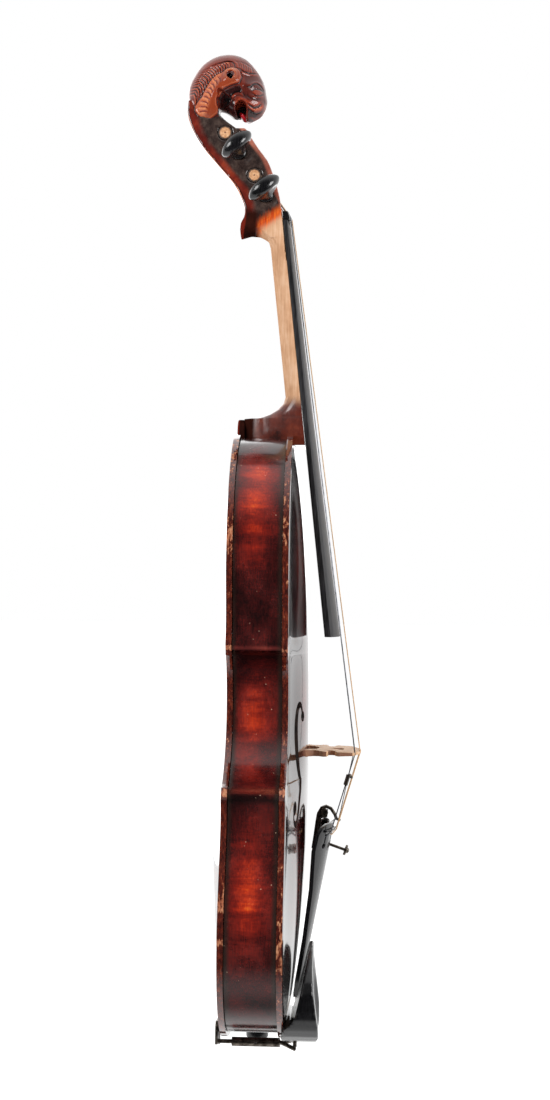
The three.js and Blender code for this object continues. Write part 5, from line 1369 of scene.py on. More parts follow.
    def arch(self, full: float, y: np.ndarray, z: np.ndarray, land: float = 0.0, margin: float = 0.0) -> np.ndarray:
        """Rise of an arched surface.

        Args:
            full: Full rise over the edge.
            y: Distances from the centre line.
            z: Heights.
            land: Flat length at both ends.
            margin: Flat margin inside the outline.

        Returns:
            The rises in millimetres.
        """
        along = 1 - np.abs(2 * rise(z, land, self.length - 2 * land) - 1) ** 2.6
        width = np.maximum(self.half(z) - margin, max(margin, 1e-6))
        part = np.minimum(np.abs(y) / width, 1)
        return full * along * (1 + np.cos(np.pi * part**1.25)) / 2

    def plate(self, kind: PlateKind, name: str) -> Piece:
        """Builds an arched plate with its hollowed channel and rounded edge, without sound holes.

        Args:
            kind: Belly or back.
            name: Name of the piece.

        Returns:
            The plate.
        """
        shares = np.concatenate([np.linspace(-1, -0.8, 11), np.linspace(-0.76, 0.76, 23), np.linspace(0.8, 1, 11)])
        size = (len(self.line), len(shares))
        y, z = (self.line[:, :1] * shares).ravel(), np.repeat(self.line[:, 1], size[1])
        belly = kind is PlateKind.BELLY
        sign = 1.0 if belly else -1.0
        full = (self.belly_arch if belly else self.back_arch) - self.edge
        rim = self.rim_distance(y, z)
        x = self.edge + self.arch(full, y, z) - self.channel * bump(rim, *self.channel_place) + 0.12 * bump(rim, 0, 1.6)
        piece = grid(name, np.stack([sign * x - self.rib_height(z) * (not belly), y, z], -1).reshape(*size, 3))
        with editing(piece):
            bpy.ops.mesh.extrude_region_move()
        inner = np.array([point.select for point in piece.data.vertices])
        places = places_of(piece)
        _, y, z = places[inner].T
        x = sign * self.arch(full, y, z, self.end_land, self.border)
        places[inner, 0] = x - self.rib_height(z) * (not belly)
        put_places(piece, places)
        with editing(piece):
            face_outwards()
        soften(piece, self.rim_round, 4, 55)
        return piece

    def mark(self, piece: Piece) -> None:
        """Keeps each point's distance from the edge and the belly's depth under its outer surface.

        Args:
            piece: The plate.
        """
        x, y, z = places_of(piece).T
        rim = self.rim_distance(y, z)
        keep(piece, "rim", rim)
        if piece.name == "belly":
            outer = self.edge + self.arch(self.belly_arch - self.edge, y, z)
            keep(piece, "depth", np.where(rim > 3.0, np.clip(outer - x - 0.75, 0, 4), 0.0))

    def hole_cutter(self, side: int) -> Piece:
        """Solid in the shape of one f-hole, on the bass side for -1 or the treble side for 1.

        Args:
            side: -1 for the bass side, 1 for the treble side.

        Returns:
            The cutter.
        """
        before, start, end, after = (np.roll(self.hole_stroke, shift, 0) for shift in (1, 0, -1, -2))
        fine = []
        for t in (0.0, 1 / 3, 2 / 3):
            square = (2 * before - 5 * start + 4 * end - after) * t * t
            cube = (3 * start - before - 3 * end + after) * t**3
            fine.append(0.5 * (2 * start + (end - before) * t + square + cube))
        outline = self.hole_corner + np.stack(fine, 1).reshape(-1, 2) * self.hole_size
        low = 8.0 - self.hole_depth / 2
        cutter = prism([(low, side * y, z) for y, z in outline], (self.hole_depth, 0.0, 0.0))
        for y, z, radius in self.hole_eyes:
            deselect()
            place = {"location": at(8.0, side * y, z), "rotation": (0, math.pi / 2, 0)}
            bpy.ops.mesh.primitive_cylinder_add(vertices=40, radius=radius * MM, depth=self.hole_depth * MM, **place)
            eye = bpy.context.object
            bpy.ops.object.transform_apply(location=True, rotation=True, scale=True)
            combine(cutter, eye, "UNION")
        return cutter

    def build(self, shop: Workshop) -> None:
        """Makes plates and ribs and hands them over.

        Args:
            shop: The workshop.
        """
        belly = self.plate(PlateKind.BELLY, "belly")
        for side in (-1, 1):
            combine(belly, self.hole_cutter(side), "DIFFERENCE")
        for place, size in self.notches:
            combine(belly, block(place, size), "DIFFERENCE")
        for plate, look, node in (
            (belly, "belly_varnish", "top_plate"),
            (self.plate(PlateKind.BACK, "back"), "back_varnish", "back_plate"),
        ):
            self.mark(plate)
            smooth(plate, 40)
            shop.hand_over(plate, look, node)
        tab = self.button()
        shop.add(tab, "neck_maple", "back_varnish", "back_plate")
        for bout, line in self.bouts().items():
            for side, sign in (("bass", -1), ("treble", 1)):
                rib = self.rib(f"{bout}_rib_{side}_varnished", line, sign)
                shop.hand_over(rib, "rib_varnish", f"{bout}_rib_{side}")
        for node in (
            "upper_block", "lower_block", "upper_corner_block_bass", "upper_corner_block_treble",
            "lower_corner_block_bass", "lower_corner_block_treble", "bass_bar", "sound_post",
        ):  # fmt: skip
            shop.dress(shop.nodes[node], "inner_spruce")
        LOG.info("sound box ready")

    @staticmethod
    def inset(line: np.ndarray, distance: float) -> np.ndarray:
        """A line moved sideways towards the inside of the body.

        Args:
            line: The line's points.
            distance: How far it moves.

        Returns:
            The moved points.
        """
        along = np.gradient(line, axis=0)
        along /= np.hypot(*along.T)[:, None]
        return line + np.stack([-along[:, 1], along[:, 0]], -1) * distance

    @staticmethod
    def carried_on(line: np.ndarray, distance: float) -> np.ndarray:
        """A line whose last point is moved on by a distance."""
        ahead = line[-1] - line[-2]
        return np.vstack([line[:-1], line[-1] + ahead / np.hypot(*ahead) * distance])

    def bouts(self) -> dict[str, np.ndarray]:
        """The three parts of the outline that a rib follows, from the bottom up.

        Returns:
            Each part's points by its name.
        """
        first, second = 15 * self.steps + 1, 27 * self.steps + 2
        lower = self.carried_on(np.vstack([[[0.4, 0.0]], self.line[:first]]), 2.2)
        waist = self.carried_on(self.carried_on(self.line[first:second], 2.4)[::-1], 2.4)[::-1]
        upper = np.vstack([self.line[second:], [[4.0, self.length]]])
        return {"lower": lower, "waist": waist, "upper": self.carried_on(upper[::-1], 2.2)[::-1]}

    def rib(self, name: str, line: np.ndarray, side: int) -> Piece:
        """Bends a rib with its two linings along the outline.

        Args:
            name: Name of the piece.
            line: Part of the outline that it follows.
            side: -1 for the bass side, 1 for the treble side.

        Returns:
            The rib.
        """
        out, wall, deep = (self.inset(line, depth) for depth in self.rib_insets)
        height, fit, low = self.rib_height(line[:, 1]), self.fit, self.lining_height
        columns = [(out, -fit - (height - 2 * fit) * share) for share in np.linspace(0, 1, 7)]
        columns += [(deep, fit - height), (deep, low - height), (wall, low - height)]
        columns += [(edge, np.full_like(height, -x)) for edge, x in ((wall, low), (deep, low), (deep, fit), (out, fit))]
        places = [np.stack([x, side * edge[:, 0], edge[:, 1]], -1) for edge, x in columns]
        piece = bent_grid(name, np.stack(places, 1))
        smooth(piece, 40)
        return piece

    def button(self) -> Piece:
        """Half-round tab of the back that the heel stands on.

        Returns:
            The tab.
        """
        half, low, top = self.button_half, self.length - 5.0, self.length + self.button_rise
        turns = np.linspace(0, np.pi, 17)
        line = [(half, low), *zip(half * np.cos(turns), top - half + half * np.sin(turns)), (-half, low)]
        under = 0.05 - self.rib_high - self.edge
        tab = prism([(under, y, z) for y, z in line], (self.edge + 0.9, 0.0, 0.0))
        soften(tab, 0.9, 3, 60)
        tab.name = "heel_tab_of_back"
        smooth(tab, 40)
        return tab


@dataclass(frozen=True)
class Peg:
    """One tuning peg: tapered shaft, collar, waisted shank and dished thumbpiece.

    Attributes:
        string: Letter of its string.
        axis: x and z of its axis.
        side: -1 where its head stands on the bass side, 1 on the treble side.
        tip: Distance of the shaft's small end from the middle, on the other side.
        cheek: Distance of the collar's inner face from the middle.
        end: Distance of the thumbpiece's end from the middle.
        lean: Turn of the thumbpiece in degrees.
    """

    string: str
    axis: Pair
    side: int
    tip: float
    cheek: float
    end: float
    lean: float
    around: int = 40
    thumb_half: float = 11.0
    thumb_length: float = 17.0
    thumb_thick: float = 8.8
    rim_start: float = 0.66

    def shaft(self) -> Piece:
        """Turned shaft with collar and shank.

        Returns:
            The shaft.
        """
        root = self.end - self.thumb_length + 3.2
        profile = [(0.0, -self.tip), (2.3, -self.tip), (2.6, -self.tip + 0.3)]
        profile += [(radius, self.cheek + reach) for radius, reach in (
            (3.25, 0.0), (4.2, 0.0), (4.65, 0.35), (4.7, 0.9), (4.35, 1.35), (3.7, 1.6), (4.2, 2.1), (4.1, 2.6),
            (3.6, 3.1), (3.4, 4.2),
        )]  # fmt: skip
        profile += [(radius, root + reach) for radius, reach in (
            (3.6, -2.6), (4.0, -1.0), (4.3, 0.0), (3.6, 1.6), (0.0, 2.2),
        )]  # fmt: skip
        radius, reach = np.array(profile).T[:, :, None]
        turns = np.linspace(0, 2 * np.pi, self.around + 1)
        x, z = self.axis[0] + radius * np.cos(turns), self.axis[1] + radius * np.sin(turns)
        places = np.stack([x, self.side * reach + 0 * x, z], -1)
        return bent_grid(f"peg_{self.string}_turned", places, closed=False)

    def thumb(self) -> Piece:
        """Heart-shaped thumbpiece with dished faces and a full rim.

        Returns:
            The thumbpiece.
        """
        deselect()
        bpy.ops.mesh.primitive_uv_sphere_add(segments=56, ring_count=36, radius=1.0)
        piece = bpy.context.object
        wide, long, thick = points_of(piece).T
        reach = np.clip(np.hypot(wide, long), 0, 1)
        dish = (0.82 + 0.18 * rise(reach, 0, self.rim_start) ** 2) * (1 - 0.45 * wide**2)
        dish += 0.3 * bump(wide, 0, 0.3) * np.clip(0.3 - long, 0, 1)
        rim = np.sqrt(1 - rise(reach, self.rim_start, 1 - self.rim_start) ** 2)
        height = np.sign(thick) * self.thumb_thick / 2 * dish * rim
        out = wide * self.thumb_half * (1 - 0.3 * np.clip(-long, 0, 1) ** 1.5)
        lean = math.radians(self.lean)
        x = self.axis[0] + out * math.cos(lean) - height * math.sin(lean)
        z = self.axis[1] + out * math.sin(lean) + height * math.cos(lean)
        y = self.side * (self.end - self.thumb_length / 2 * (1 - long))
        put_places(piece, np.stack([x, y, z], -1))
        return piece

    def build(self, shop: Workshop) -> None:
        """Joins shaft and thumbpiece and hands the peg over.

        Args:
            shop: The workshop.
        """
        shaft, thumb = self.shaft(), self.thumb()
        join(shaft, thumb)
        with editing(shaft):
            face_outwards()
        smooth(shaft, 50)
        shop.hand_over(shaft, "ebony", f"peg_{self.string}")


PEGS = (
    Peg("g", (-15.99, 502.30), -1, 9.78, 11.75, 37.48, 38.0),
    Peg("d", (-32.825, 528.715), -1, 8.11, 10.06, 35.81, 40.0),
    Peg("a", (-41.21, 540.77), 1, 7.34, 9.3, 35.04, 60.0),
    Peg("e", (-23.01, 514.40), 1, 9.01, 10.96, 36.71, 30.0),
)


@dataclass
class Fittings:
    """Fingerboard, strings, bridge, tailpiece, tuner, chinrest and pegs over the CAD nodes."""

    rounded: tuple[tuple[str, str, float], ...] = (
        ("fingerboard", "fingerboard_ebony", 0.5), ("nut", "ebony", 0.3), ("saddle", "ebony", 0.5),
        ("end_button", "ebony", 0.3), ("tailpiece", "ebony", 0.4), ("tailpiece_fret", "ebony", 0.3),
        ("bridge", "bridge_maple", 0.25), ("chinrest_cork", "cork_pad", 0.3), ("chinrest_foot", "nickel", 0.3),
        ("chinrest_foot_cork", "cork_pad", 0.2), ("tuner_body", "nickel", 0.15), ("tuner_ring_nut", "nickel", 0.25),
        ("tuner_lever", "nickel", 0.2), ("tuner_knob", "nickel", 0.15),
    )  # fmt: skip
    plain: tuple[tuple[str, str], ...] = (
        ("string_g", "string_steel"), ("string_d", "gut"), ("string_a", "gut"), ("string_e", "string_steel"),
        ("string_e_loop", "string_steel"), ("tailgut", "tailgut_cord"), ("tuner_pivot_pin", "nickel"),
        ("tuner_screw", "nickel"), ("chinrest_bracket", "nickel"), ("chinrest_barrel_1", "nickel"),
        ("chinrest_barrel_2", "nickel"), ("string_clip", "nickel"),
    )  # fmt: skip
    lever_growth: float = 0.3

    @staticmethod
    def chinrest(shop: Workshop) -> None:
        """Smooths the chinrest's plate and lets it run out round the edge of the body.

        Args:
            shop: The workshop.
        """
        plate = shop.copy_of("chinrest_plate", "chinrest_plate_polished")
        remesh(plate, 0.7)
        relax(plate, 12)
        x, y, z = places_of(plate).T
        x = x - 4.2 * rise(np.abs(y) - SoundBox().half(z), 0, 6.0) * rise(x, 17.0, -10.0)
        put_places(plate, np.stack([x, y, z + 3.0 * rise(z, 20.0, -18.0)], -1))
        smooth(plate, 50)
        shop.hand_over(plate, "ebony", "chinrest_plate")

    def build(self, shop: Workshop) -> None:
        """Makes each fitting and hands it over.

        Args:
            shop: The workshop.
        """
        for node, look, rounding in self.rounded:
            made = shop.refine(node, look, rounding)
            if node == "tuner_lever":
                modify(made, "DISPLACE", mid_level=0.0, strength=self.lever_growth * MM)
        self.chinrest(shop)
        for node, look in self.plain:
            shop.refine(node, look, 0.0, 50.0)
        for peg in PEGS:
            peg.build(shop)
            for end in ("collar", "tip"):
                ring = shop.refine(f"peg_bushing_{peg.string}_{end}", "boxwood", 0.2)
                x, _, z = places_of(ring).T
                keep(ring, "off_axis", np.hypot(x - peg.axis[0], z - peg.axis[1]))
        LOG.info("fittings ready")


@dataclass(frozen=True)
class Gouge:
    """One carved line on the side of the head.

    Attributes:
        width: Half width of the cut.
        depth: How far it is raised, or cut in where below zero.
        tone: How much lighter it is painted, a painted highlight on a ridge, or darker where below zero, painted shade
            in a cut.
        line: Its points as x and z in the body's millimetres.
    """

    width: float
    depth: float
    tone: float
    line: Line


@dataclass(frozen=True)
class Patch:
    """An area on the side of the head that is raised or sunk as a whole."""

    soft: float
    depth: float
    tone: float
    outline: Line


MANE_LOCKS = (
    ((-39.1, 583.2), (-37.3, 583.0), (-36.2, 581.8), (-35.9, 580.0)),
    ((-41.7, 582.8), (-39.6, 582.8), (-38.4, 581.5), (-38.2, 579.7)),
    ((-45.2, 581.8), (-42.8, 581.9), (-41.4, 580.5), (-41.1, 578.6)),
    ((-48.8, 580.4), (-46.1, 580.5), (-44.6, 579.0), (-44.1, 576.6)),
    ((-52.4, 578.5), (-49.4, 579.0), (-47.4, 577.6), (-46.4, 575.2)),
    ((-55.2, 576.4), (-52.2, 576.7), (-49.8, 575.2), (-48.7, 572.9)),
    ((-57.5, 573.8), (-54.6, 574.1), (-52.5, 572.4), (-51.6, 569.8)),
    ((-59.1, 570.8), (-56.3, 571.1), (-54.5, 569.3), (-53.9, 566.8)),
    ((-60.6, 567.8), (-58.1, 567.4), (-56.8, 565.4), (-56.6, 562.6)),
    ((-62.0, 564.5), (-60.0, 564.1), (-58.9, 561.9), (-58.9, 559.4)),
)
FORELOCKS = (
    ((-35.4, 583.8), (-33.7, 582.7), (-33.0, 581.0), (-33.0, 579.1)),
    ((-32.6, 584.1), (-31.0, 582.7), (-30.3, 580.5), (-30.4, 578.4)),
    ((-29.6, 583.3), (-28.0, 581.7), (-27.5, 579.8), (-27.6, 577.9)),
    ((-26.5, 581.7), (-25.3, 580.3), (-25.0, 578.9), (-25.1, 577.7)),
)
INNER_LOCKS = (
    ((-45.6, 572.6), (-44.3, 571.6), (-43.7, 570.1), (-44.0, 568.7)),
    ((-47.8, 571.0), (-46.4, 569.9), (-45.8, 568.3), (-46.2, 566.9)),
    ((-49.9, 568.9), (-48.2, 567.8), (-47.5, 566.1), (-48.0, 564.7)),
    ((-51.6, 566.3), (-49.7, 565.5), (-48.7, 563.8), (-49.1, 562.2)),
    ((-53.1, 563.7), (-51.0, 562.9), (-49.8, 561.3), (-50.0, 559.9)),
    ((-54.5, 561.0), (-52.2, 560.4), (-50.7, 559.0), (-50.7, 557.5)),
    ((-55.8, 558.3), (-53.5, 557.8), (-51.7, 556.7), (-51.1, 555.5)),
    ((-56.9, 555.6), (-54.6, 555.1), (-52.5, 554.6), (-51.3, 553.6)),
    ((-57.4, 552.9), (-55.3, 552.7), (-53.2, 552.5), (-51.7, 552.0)),
)
LOCK_OUTLINE = (
    (-42.8, 575.8), (-46.5, 574.4), (-49.7, 571.3), (-51.8, 568.1), (-53.6, 564.8), (-55.1, 561.2), (-57.5, 559.1),
    (-59.7, 556.5), (-59.5, 553.6), (-56.8, 550.2), (-50.8, 548.9), (-46.2, 551.6), (-45.3, 554.1), (-46.4, 556.8),
    (-46.4, 559.8), (-44.5, 563.0), (-41.7, 565.9), (-37.5, 567.8), (-32.9, 569.3), (-31.4, 573.0), (-32.4, 576.3),
    (-34.4, 578.3), (-37.2, 578.8), (-40.5, 577.9),
)  # fmt: skip
FACE_LINES = (
    Gouge(0.42, -0.75, -0.45, ((-33.0, 578.6), (-30.4, 576.8), (-26.9, 576.2), (-24.1, 576.8), (-22.4, 577.8))),
    Gouge(0.5, 0.35, 0.22, ((-33.0, 577.6), (-30.4, 575.8), (-26.9, 575.2), (-24.1, 575.8), (-21.8, 576.2))),
    Gouge(0.34, -0.6, -0.6, (
        (-27.9, 567.2), (-25.8, 567.5), (-23.9, 569.4), (-22.0, 570.2), (-20.2, 569.4), (-18.4, 567.4), (-17.1, 566.9),
    )),
    Gouge(0.6, 0.4, 0.12, (
        (-27.9, 568.1), (-25.9, 568.4), (-24.2, 570.3), (-22.0, 571.3), (-19.6, 570.4), (-17.8, 568.4),
    )),
    Gouge(0.3, -0.42, -0.35, ((-25.0, 565.4), (-23.0, 566.6), (-20.7, 566.9), (-18.1, 566.8))),
    Gouge(0.3, -0.42, -0.35, ((-24.3, 563.3), (-22.5, 562.4), (-20.2, 563.0), (-18.3, 564.9))),
    Gouge(0.45, 0.3, 0.12, ((-24.6, 562.5), (-22.4, 561.4), (-19.8, 562.1), (-17.8, 564.1))),
    Gouge(0.7, -0.35, -0.12, ((-28.1, 564.1), (-27.6, 561.7), (-25.3, 560.3), (-22.0, 560.3), (-19.2, 561.7))),
    Gouge(0.4, -0.8, -0.5, ((-28.2, 558.1), (-26.3, 556.4), (-23.7, 555.5), (-21.3, 556.5), (-19.2, 558.6))),
    Gouge(0.7, 0.5, 0.16, ((-28.1, 559.2), (-26.1, 557.5), (-23.6, 556.7), (-21.6, 557.6), (-19.6, 559.6))),
    Gouge(0.6, 0.45, 0.3, ((-28.0, 556.6), (-25.9, 555.0), (-23.2, 554.5), (-20.6, 555.6), (-18.0, 558.0))),
    Gouge(0.4, -0.6, -0.4, ((-27.5, 554.8), (-25.0, 553.3), (-22.5, 553.0), (-20.0, 554.1), (-17.6, 556.4))),
    Gouge(0.4, -0.7, -0.5, ((-27.6, 549.7), (-23.7, 549.6), (-20.0, 550.7), (-15.6, 553.1))),
    Gouge(0.45, 0.4, 0.32, ((-27.4, 550.6), (-23.7, 550.5), (-20.2, 551.6), (-16.0, 554.1))),
    Gouge(0.55, 0.6, 0.2, (
        (-35.6, 551.9), (-35.7, 555.4), (-34.5, 558.2), (-32.1, 560.1), (-29.3, 559.7), (-27.3, 557.2), (-27.0, 553.8),
    )),
    Gouge(0.6, 0.6, 0.3, (
        (-38.8, 557.5), (-37.7, 559.4), (-37.0, 561.3), (-35.1, 563.1), (-32.8, 563.7), (-31.3, 562.7),
    )),
    Gouge(0.5, -0.5, -0.3, (
        (-39.6, 556.8), (-38.7, 559.6), (-37.9, 561.8), (-35.6, 564.1), (-32.8, 564.7), (-30.6, 563.4),
    )),
    Gouge(0.4, -0.45, -0.25, ((-36.9, 557.4), (-36.2, 560.0), (-34.4, 561.8), (-32.2, 562.2), (-30.4, 561.2))),
    Gouge(0.45, 0.45, 0.12, ((-43.0, 557.5), (-41.6, 554.7), (-38.7, 551.4), (-35.9, 548.1))),
    Gouge(0.4, -0.5, -0.2, ((-41.6, 557.2), (-40.2, 554.6), (-37.6, 551.4), (-35.2, 548.6))),
    Gouge(0.4, 0.4, 0.1, ((-38.8, 555.2), (-37.3, 551.9), (-34.9, 548.6))),
    Gouge(0.7, -0.4, -0.12, ((-29.1, 568.8), (-30.5, 565.9), (-30.2, 563.1), (-28.6, 560.8))),
    Gouge(0.6, -0.3, -0.12, ((-18.3, 561.3), (-16.8, 558.5), (-16.3, 555.6))),
)  # fmt: skip
FACE_PATCHES = (
    Patch(1.1, 1.15, 0.3, LOCK_OUTLINE),
    Patch(1.2, -1.1, -0.34, (
        (-44.9, 561.2), (-40.8, 565.0), (-35.2, 567.4), (-32.4, 567.8), (-31.0, 565.5), (-32.3, 563.1),
        (-36.1, 562.2), (-38.8, 557.5), (-43.0, 555.2), (-44.9, 557.0),
    )),
    Patch(0.9, 0.65, 0.2, (
        (-24.9, 564.6), (-23.4, 566.3), (-20.6, 566.6), (-18.6, 565.6), (-20.3, 563.3), (-22.6, 562.7),
    )),
    Patch(0.8, -3.4, -0.6, (
        (-34.0, 550.9), (-34.3, 554.7), (-33.4, 557.3), (-31.8, 558.5), (-29.7, 558.2), (-28.7, 556.6),
        (-28.7, 553.1), (-30.5, 551.4), (-32.2, 550.5),
    )),
    Patch(1.5, 0.0, -0.13, (
        (-30.0, 575.0), (-29.0, 569.5), (-30.5, 560.0), (-27.0, 559.0), (-18.0, 559.5), (-16.4, 556.0),
        (-15.0, 566.0), (-19.0, 574.5), (-23.5, 576.0),
    )),
    Patch(1.0, 0.0, -0.3, (
        (-43.5, 556.0), (-38.0, 550.0), (-34.0, 546.5), (-34.5, 556.0), (-37.5, 561.0), (-42.0, 561.0),
    )),
    Patch(1.0, 0.0, -0.26, (
        (-27.6, 556.0), (-22.0, 552.5), (-16.0, 555.5), (-16.0, 551.0), (-22.0, 545.5), (-27.6, 546.0),
    )),
)  # fmt: skip


@dataclass
class NeckAndHead:
    """Neck, heel, pegbox and the carved lion head, one stick of maple."""

    coarse: float = 0.62
    fine: float = 0.4
    seam: float = 543.5
    lower_seam: float = 462.0
    spare: float = 3.0  # what the pegbox is longer by at each seam while it is smoothed
    head_spare: float = 4.0
    gap_width: float = 60.0
    mouth_wall: tuple[Place, Place] = ((-31.0, 0.0, 555.4), (8.6, 5.0, 8.0))  # keeps light from showing through
    skull: Pair = (-41.0, 566.0)
    skull_radius: float = 24.5
    ear: Pair = (-37.9, 573.9)
    ear_hole: Pair = (-38.2, 572.9)
    jaw_round: float = 7.5
    jaw_edge: Line = (
        (-46.2, 558.0), (-44.3, 556.6), (-37.2, 552.0), (-33.5, 551.2), (-30.4, 549.5), (-27.3, 549.0),
    )  # fmt: skip
    gap: Line = (
        (-46.0, 556.2), (-44.3, 556.6), (-37.2, 552.0), (-33.5, 551.2), (-30.4, 549.5), (-27.3, 549.0),
        (-24.4, 549.5), (-21.5, 550.3), (-20.5, 544.0), (-31.5, 543.2), (-34.0, 543.4), (-40.4, 547.9),
        (-45.0, 551.9),
    )  # fmt: skip

    @staticmethod
    def between(rows: Sequence[Line], parts: int) -> Iterator[tuple[np.ndarray, float]]:
        """Lines of a fan, each main one with a strength of 1 and weaker ones between them.

        Args:
            rows: The main lines.
            parts: Steps from one to the next.

        Yields:
            Each line with its strength.
        """
        for first, second in zip(rows[:-1], rows[1:]):
            for k in range(parts):
                yield np.array(first) * (1 - k / parts) + np.array(second) * k / parts, 0.8 if k else 1.0
        yield np.array(rows[-1]), 1.0

    def gouges(self) -> Iterator[Gouge]:
        """Every carved line of one side.

        Yields:
            The carved lines.
        """
        yield from FACE_LINES
        fans = ((MANE_LOCKS, 2, 0.6, 0.42), (FORELOCKS, 2, 0.35, 0.36), (INNER_LOCKS, 1, 0.65, 0.42))
        for rows, parts, full, width in fans:
            for line, strength in self.between(rows, parts):
                if rows is MANE_LOCKS:
                    line = np.vstack([line[0] * 1.8 - line[1] * 0.8, line, line[-1] * 1.7 - line[-2] * 0.7])
                depth = full * strength
                yield Gouge(width, -depth, -0.6 * depth, line)
                yield Gouge(width, depth * 0.6, 0.6 * depth, line - 0.62)

    def relief(self, points: np.ndarray) -> tuple[np.ndarray, np.ndarray]:
        """Height and tone of the carving at places on the side of the head.

        Args:
            points: Rows of x and z in the body's millimetres.

        Returns:
            The heights in millimetres and the tones.
        """
        height, tone = np.zeros(len(points)), 0.04 * rise(points[:, 0], -30.0, -6.0)
        # Patches darken the sunk cheek and the mouth as painted shade and make other areas lighter or darker.
        for patch in FACE_PATCHES:
            share = np.clip(within(points, patch.outline) / patch.soft + 0.5, 0, 1)
            share = share * share * (3 - 2 * share)
            height += patch.depth * share
            tone += patch.tone * share
        # Painted shade in the cut round the lock.
        rim = within(points, LOCK_OUTLINE)
        height -= 0.35 * bump(rim, -0.5, 0.4)
        tone -= 0.35 * bump(rim, -0.45, 0.35)
        # Painted shade in each cut and a painted highlight on each ridge.
        for gouge in self.gouges():
            away, place = nearest(points, gouge.line)
            share = bump(away, 0, gouge.width) * np.clip(np.minimum(place, 1 - place) / 0.18, 0.25, 1)
            height += gouge.depth * share
            tone += gouge.tone * share
        # Painted highlight on the ear's rim and painted shade in its hollow and hole.
        x, z = (points - self.ear).T
        ring = np.hypot(x, z * 1.08)
        height += 0.55 * bump(ring, 3.5, 0.8) - 1.25 * rise(ring, 2.9, -1.2)
        tone += 0.2 * bump(ring, 3.6, 0.6) - 0.5 * rise(ring, 2.9, -0.8)
        hole = np.hypot(*(points - self.ear_hole).T)
        return height - 2.2 * rise(hole, 1.7, -0.6), tone - 0.9 * rise(hole, 1.9, -0.5)

    @staticmethod
    def saw(piece: Piece, height: float, keep_upper: bool, fill: bool) -> None:
        """Cuts a piece at a height and keeps one part.

        Args:
            piece: The piece.
            height: Height of the cut in the body's millimetres.
            keep_upper: Whether the upper part is kept.
            fill: Whether the cut is closed.
        """
        place, side = at(0, 0, height), {"clear_inner": keep_upper, "clear_outer": not keep_upper}
        with editing(piece):
            bpy.ops.mesh.bisect(plane_co=place, plane_no=(0, 0, 1), use_fill=fill, **side)

    @staticmethod
    def round_chin(pegbox: Piece) -> None:
        """Rounds the underside of the chin across, where the pegbox runs out into the neck.

        Args:
            pegbox: The pegbox.
        """
        places = places_of(pegbox)
        x, y, z = places.T
        places[:, 2] += 3.4 * rise(z, 489.0, -9.0) * rise(x, -13.0, -6.0) * (y / 12.0) ** 2
        put_places(pegbox, places)

    @staticmethod
    def fill_muzzle(head: Piece) -> None:
        """Swells the lower front of the muzzle.

        Args:
            head: The head.
        """
        places = places_of(head)
        swell = 1.5 * bump(np.hypot(places[:, 0] + 18.5, places[:, 2] - 551.0), 0, 4.6)
        places[:, 0] += swell
        places[:, 2] -= swell
        put_places(head, places)

    def round_jaw(self, head: Piece) -> None:
        """Rounds the underside of jaw and muzzle like a keel, so that the gap is open to the light.

        Args:
            head: The head.
        """
        places = places_of(head)
        x, y, z = places.T
        away, _ = nearest(places[:, [0, 2]], self.jaw_edge)
        above = z - np.interp(x, *zip(*self.jaw_edge))
        jaw = (above > -1.0) & (x > -45.5) & (away < self.jaw_round)
        limit = 1.2 + 11.0 * np.sqrt(1 - (1 - rise(away, 0, self.jaw_round)) ** 2)
        places[:, 1] = np.where(jaw, np.sign(y) * np.minimum(np.abs(y), limit), y)
        put_places(head, places)

    def carve(self, head: Piece) -> None:
        """Moves the head's sides by the carving's relief and keeps its tones, painted shade and highlight among them.

        Args:
            head: The head.
        """
        places = places_of(head)
        x, y, z = places.T
        flat = places[:, [0, 2]]
        normals = np.zeros(len(places) * 3, np.float32)
        head.data.vertices.foreach_get("normal", normals)
        height, tone = self.relief(flat)
        side = rise(np.abs(normals[1::3]), 0.12, 0.35)
        reach = within(flat, LOCK_OUTLINE)
        on_head = rise(np.hypot(*(flat - self.skull).T), self.skull_radius + 1.5, -1.2)
        low = z < np.interp(x, (-66, -59, -50, -44, -30), (560.0, 551.5, 549.2, 551.0, 543.0))
        below_gap = z < np.interp(x, (-45.4, -40.5, -34.0), (553.0, 549.5, 545.0))
        off = (low & (reach < 0.3) & (x < -44.0)) | (below_gap & (x > -45.6) & (x < -30.0))
        on_head = np.where(off, 0, on_head)
        comb_end = np.interp(z, (549.0, 556.0, 562.0, 568.0, 574.0), (-54.5, -51.5, -49.5, -46.5, -43.5))
        orange = rise(reach, 0.1, 0.8) * rise(x, comb_end - 1.0, 2.5)
        orange *= rise(np.hypot(*(flat - self.ear).T), 2.4, 0.8) * rise(z, 579.0, -4.0)
        places[:, 1] = np.sign(y) * np.maximum(np.abs(y) + height * side * on_head, 0.4)
        put_places(head, places)
        keep(head, "head", on_head)
        # The tone kept as carved is painted shade in the cuts and painted highlight on the ridges.
        keep(head, "carved", np.clip(0.5 + tone * np.clip(side + 0.25, 0, 1), 0, 1))
        keep(head, "glow", orange * on_head)

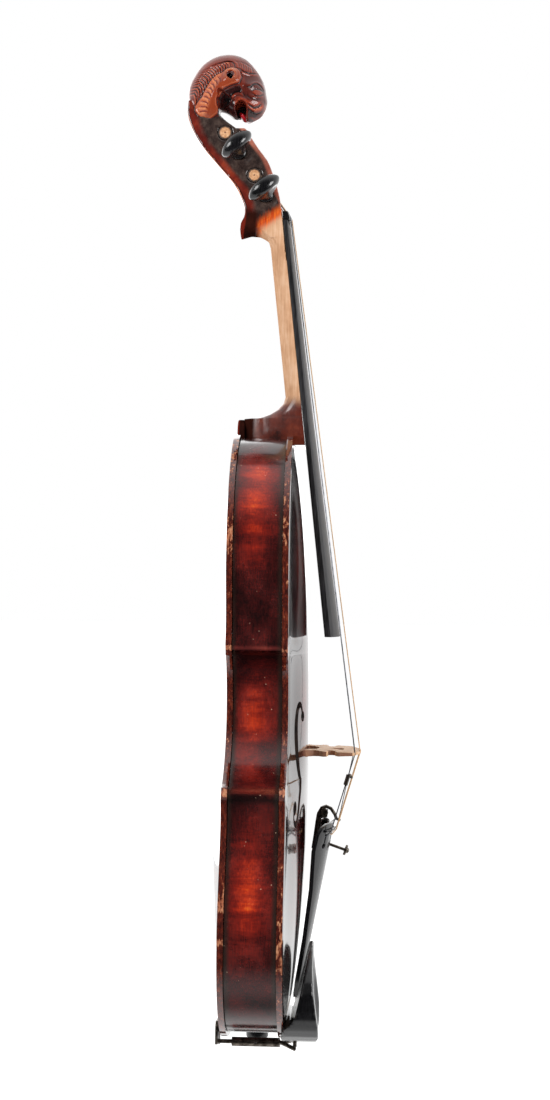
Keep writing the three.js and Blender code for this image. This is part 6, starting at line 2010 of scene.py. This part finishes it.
    @staticmethod
    def tongue(shop: Workshop) -> None:
        """Red tongue that hangs from the mouth.

        Args:
            shop: The workshop.
        """
        deselect()
        bpy.ops.mesh.primitive_uv_sphere_add(segments=28, ring_count=16, radius=1.0, location=at(-30.6, 0, 552.3))
        piece = bpy.context.object
        piece.name = "lion_tongue"
        piece.rotation_euler = (0, math.radians(-43), 0)
        piece.scale = (1.75 * MM, 4.6 * MM, 3.9 * MM)
        bpy.ops.object.transform_apply(location=True, rotation=True, scale=True)
        smooth(piece, 60)
        shop.add(piece, "tongue_red", "neck_maple", "neck")

    def build(self, shop: Workshop) -> None:
        """Makes the neck with its head and hands it over.

        Args:
            shop: The workshop.
        """
        neck = shop.copy_of("neck", "neck_with_lion_head")
        pegbox = shop.copy_of("neck", "pegbox_blank")
        self.saw(pegbox, self.seam + self.spare, False, True)
        self.saw(pegbox, self.lower_seam - self.spare, True, True)
        remesh(pegbox, self.coarse)
        relax(pegbox, 7)
        self.round_chin(pegbox)
        self.saw(pegbox, self.seam, False, False)
        self.saw(pegbox, self.lower_seam, True, False)
        smooth(pegbox, 60)
        head = shop.copy_of("neck", "head_blank")
        self.saw(head, self.seam - self.head_spare, True, True)
        gap = prism([(x, -self.gap_width / 2, z) for x, z in self.gap], (0.0, self.gap_width, 0.0))
        combine(head, gap, "DIFFERENCE")
        combine(head, block(*self.mouth_wall), "UNION")
        remesh(head, self.coarse)
        relax(head, 14)
        self.fill_muzzle(head)
        self.round_jaw(head)
        remesh(head, self.fine)
        relax(head, 4)
        self.carve(head)
        self.saw(head, self.seam, True, False)
        self.saw(neck, self.lower_seam, False, False)
        smooth(neck, 40)
        smooth(head, 80)
        join(neck, head, pegbox)
        shop.hand_over(neck, "neck_maple", "neck")
        self.tongue(shop)


def main() -> None:
    """Builds the studio and every sub-assembly over the frame."""
    logging.basicConfig(level=logging.INFO, format="%(message)s")
    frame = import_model()
    Studio().build()
    shop = Workshop(frame)
    SoundBox().build(shop)
    NeckAndHead().build(shop)
    Fittings().build(shop)


if __name__ == "__main__":
    main()
